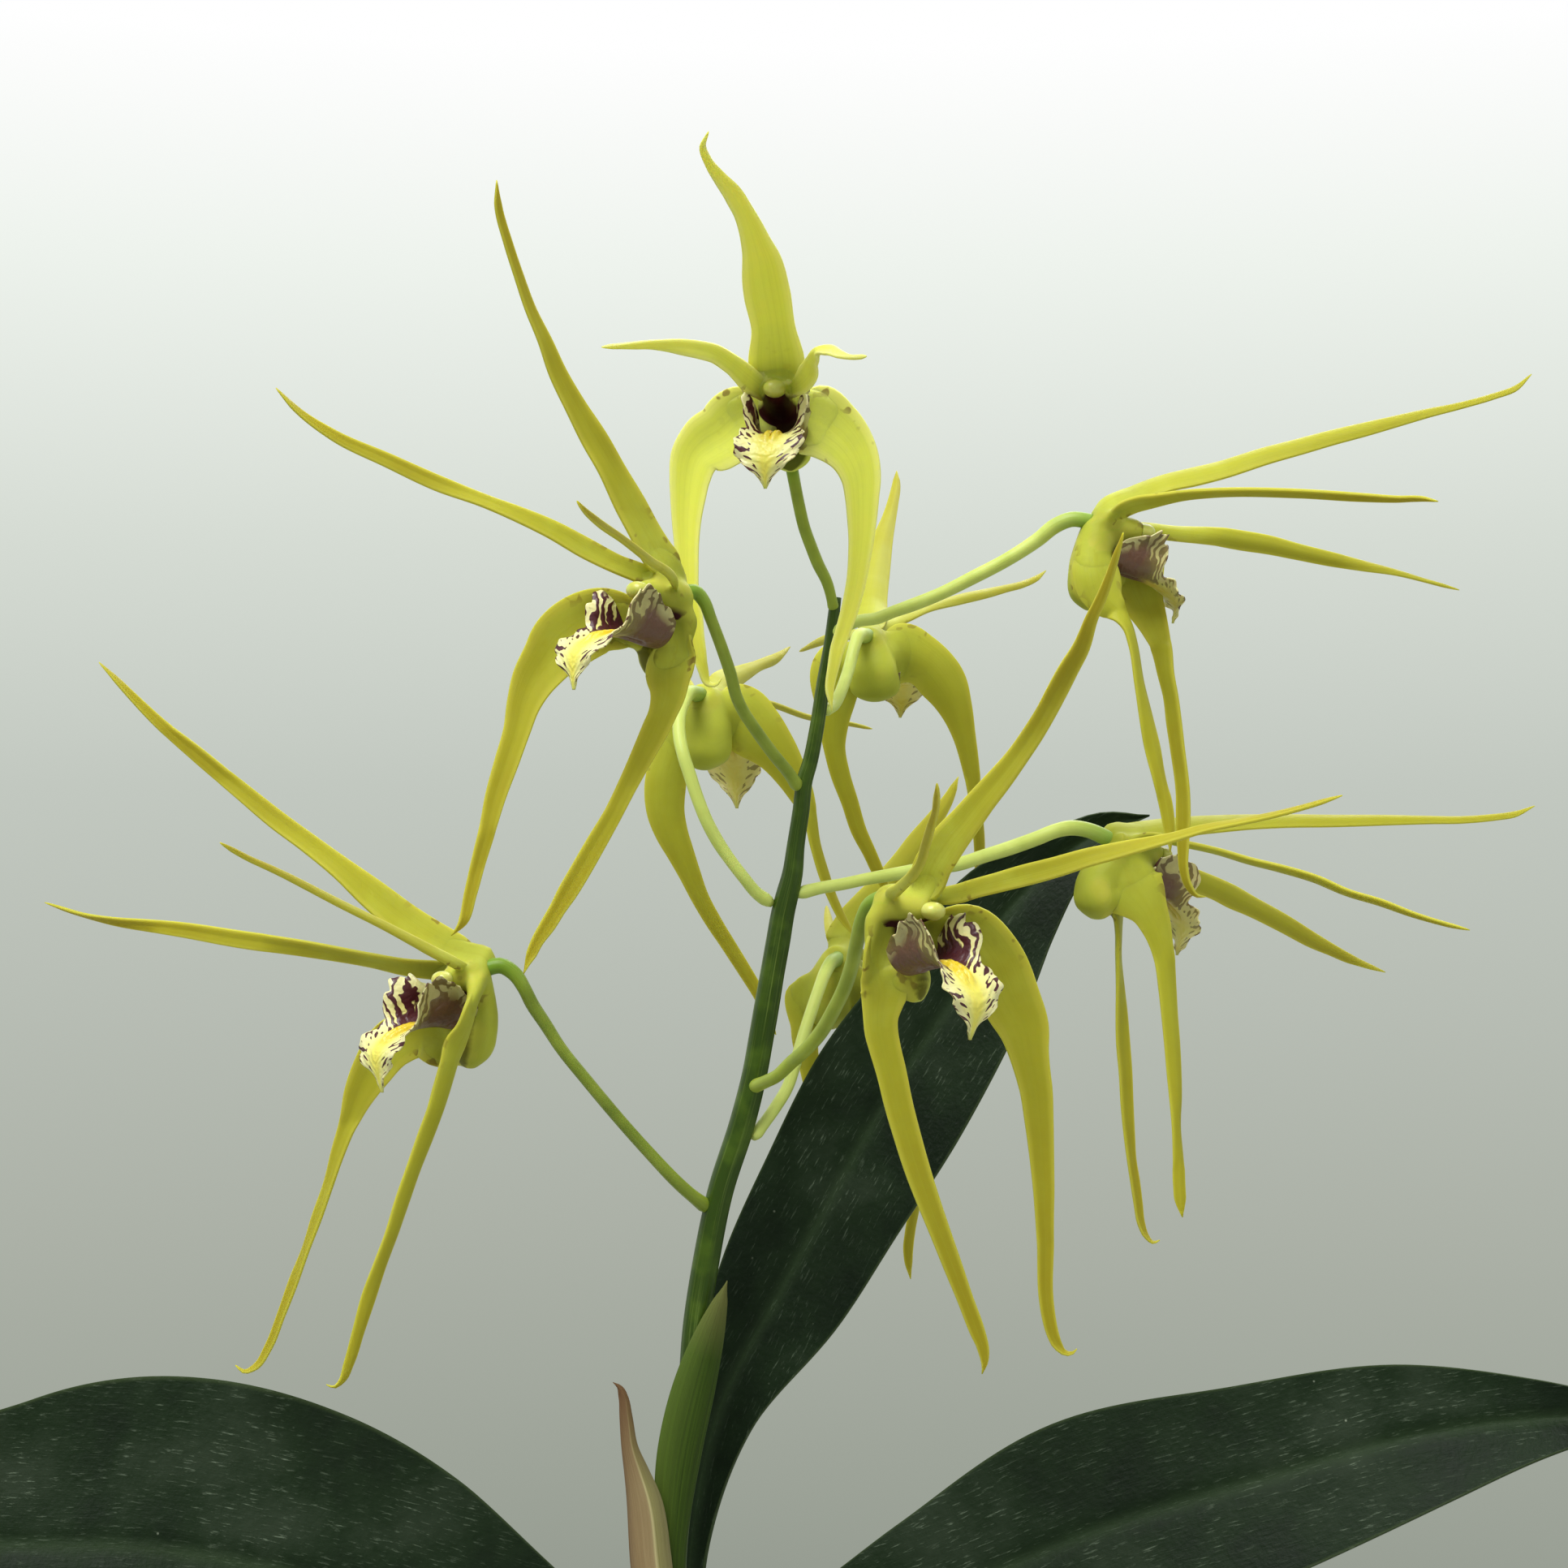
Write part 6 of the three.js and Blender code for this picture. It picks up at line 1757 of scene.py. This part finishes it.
# %% Make the bark bed
CHIP_COUNT = 190
BED_RADIUS = 46.5
GOLDEN_ANGLE = 2.39996
CHIP_RISE = (-1.2, 2.0)
CHIP_LENGTHS = (6, 13)
CHIP_WIDTHS = (4, 8)
CHIP_HEIGHTS = (2.5, 4.5)
CHIP_TILT = 0.45
CANE_GAP = 5.5
rng = np.random.default_rng(7)
wall = inner_base + (BARK_LEVEL - POT_FLOOR) * (inner_top - inner_base) / (POT_HEIGHT - 1 - POT_FLOOR)
bed = [turned_rings(np.array([
    (NEAR_AXIS, POT_FLOOR + 0.3), (inner_base - 0.4, POT_FLOOR + 0.3), (wall - 1.0, BARK_LEVEL - 3),
    (wall - 5.0, BARK_LEVEL - 1), (NEAR_AXIS, BARK_LEVEL - 0.5),
]), 64)]
bed[0]["tone"] = 1.0
feet = np.array([shape[0] for shape in CANES.values()], float)
tops = np.array([shape[1] for shape in CANES.values()], float)
axes = feet + (tops - feet) * ((BARK_LEVEL - feet[:, 2]) / (tops - feet)[:, 2])[:, None]
for k in range(CHIP_COUNT):
    reach = BED_RADIUS * np.sqrt((k + 0.5) / CHIP_COUNT)
    angle = k * GOLDEN_ANGLE + rng.uniform(0, 0.5)
    height = BARK_LEVEL + rng.uniform(*CHIP_RISE)
    centre = np.array([reach * np.cos(angle), reach * np.sin(angle), height])
    size = np.array([rng.uniform(*span) for span in (CHIP_LENGTHS, CHIP_WIDTHS, CHIP_HEIGHTS)])
    away = np.linalg.norm((axes - centre)[:, :2], axis=1)
    if away.min() < CANE_GAP + size[1] / 2:
        continue
    turn = turning(*rng.uniform(-CHIP_TILT, CHIP_TILT, 2), rng.uniform(0, np.pi))
    bed.append(chip_rings(centre, size, turn, k + 1.0))
make_piece("bark_bed", bed, bark_chip, "bark_mix")
print("bark pieces:", len(bed))

# %% [markdown]
# ## Studio
# A pale floor and a pale surround stand in for the photographer's studio. Three soft lamps do the
# rest: a broad one from the upper left in front, a weaker one from the right and one from behind
# that draws the edges.

# %% Floor
floor_mesh = bpy.data.meshes.new("studio_floor")
corners = 0.7 * np.array([(-1, -1, 0), (1, -1, 0), (1, 1, 0), (-1, 1, 0)])
floor_mesh.from_pydata(corners, [], [(0, 1, 2, 3)])
floor = bpy.data.objects.new("studio_floor", floor_mesh)
bpy.context.scene.collection.objects.link(floor)
pale_floor, tree, shader = new_material("studio_floor")
feed(tree, shader, {"Base Color": "#B9BDB6", "Roughness": 0.85})
floor.data.materials.append(pale_floor)
print("floor in metres:", round(2 * corners[:, 0].max(), 2), "wide")

# %% Surround
# The surround is lit from above like a paper sweep: white high up, grey below the eye's level,
# and darker on the viewer's side of the room
world = bpy.data.worlds.new("studio_world")
bpy.context.scene.world = world
world.use_nodes = True
tree = world.node_tree
tree.nodes.clear()
way = add(tree, "TexCoord").outputs["Generated"]
place = add(tree, "SeparateXYZ", {0: way})
height = add(tree, "MapRange", {0: place.outputs[2], 1: -1.0, 2: 1.0, 3: 0.0, 4: 1.0})
sweep = add(tree, "ValToRGB", {0: height}, [
    (0.0, "#565A54"), (0.275, "#787C74"), (0.355, "#9AA095"), (0.4125, "#ACB1A7"), (0.5, "#C2C8C0"),
    (0.55, "#D6DCD4"), (0.604, "#EEF3ED"), (0.645, "#FFFFFF"), (0.75, "#FFFFFF"), (0.9, "#B0B4B0"),
])
depth = add(tree, "MapRange", {0: place.outputs[1], 1: -0.6, 2: 0.3, 3: 0.45, 4: 1.0})
background = add(tree, "Background", {"Color": sweep, "Strength": depth})
add(tree, "OutputWorld", {"Surface": background})
print("surround nodes:", len(tree.nodes))

# %% Lamps
def soft_lamp(name, place, target, size, watts):
    """A square lamp that looks at its target."""
    lamp = bpy.data.lights.new(name, "AREA")
    lamp.size, lamp.energy = size, watts
    holder = bpy.data.objects.new(name, lamp)
    holder.location = place
    way = np.array(target) - np.array(place)
    flat = np.hypot(way[0], way[1])
    holder.rotation_euler = (np.arctan2(flat, -way[2]), 0, np.arctan2(-way[0], way[1]))
    bpy.context.scene.collection.objects.link(holder)


MIDDLE = (0.01, 0.0, 0.3)
soft_lamp("key", (-0.22, -0.40, 1.15), MIDDLE, 0.6, 11.5)
soft_lamp("fill", (0.75, -0.65, 0.55), MIDDLE, 0.7, 1.2)
soft_lamp("back", (0.25, 0.65, 0.95), MIDDLE, 0.5, 2.5)
bpy.context.scene.view_settings.view_transform = "Standard"
bpy.context.scene.view_settings.look = "None"
print("lamps:", len(bpy.data.lights))
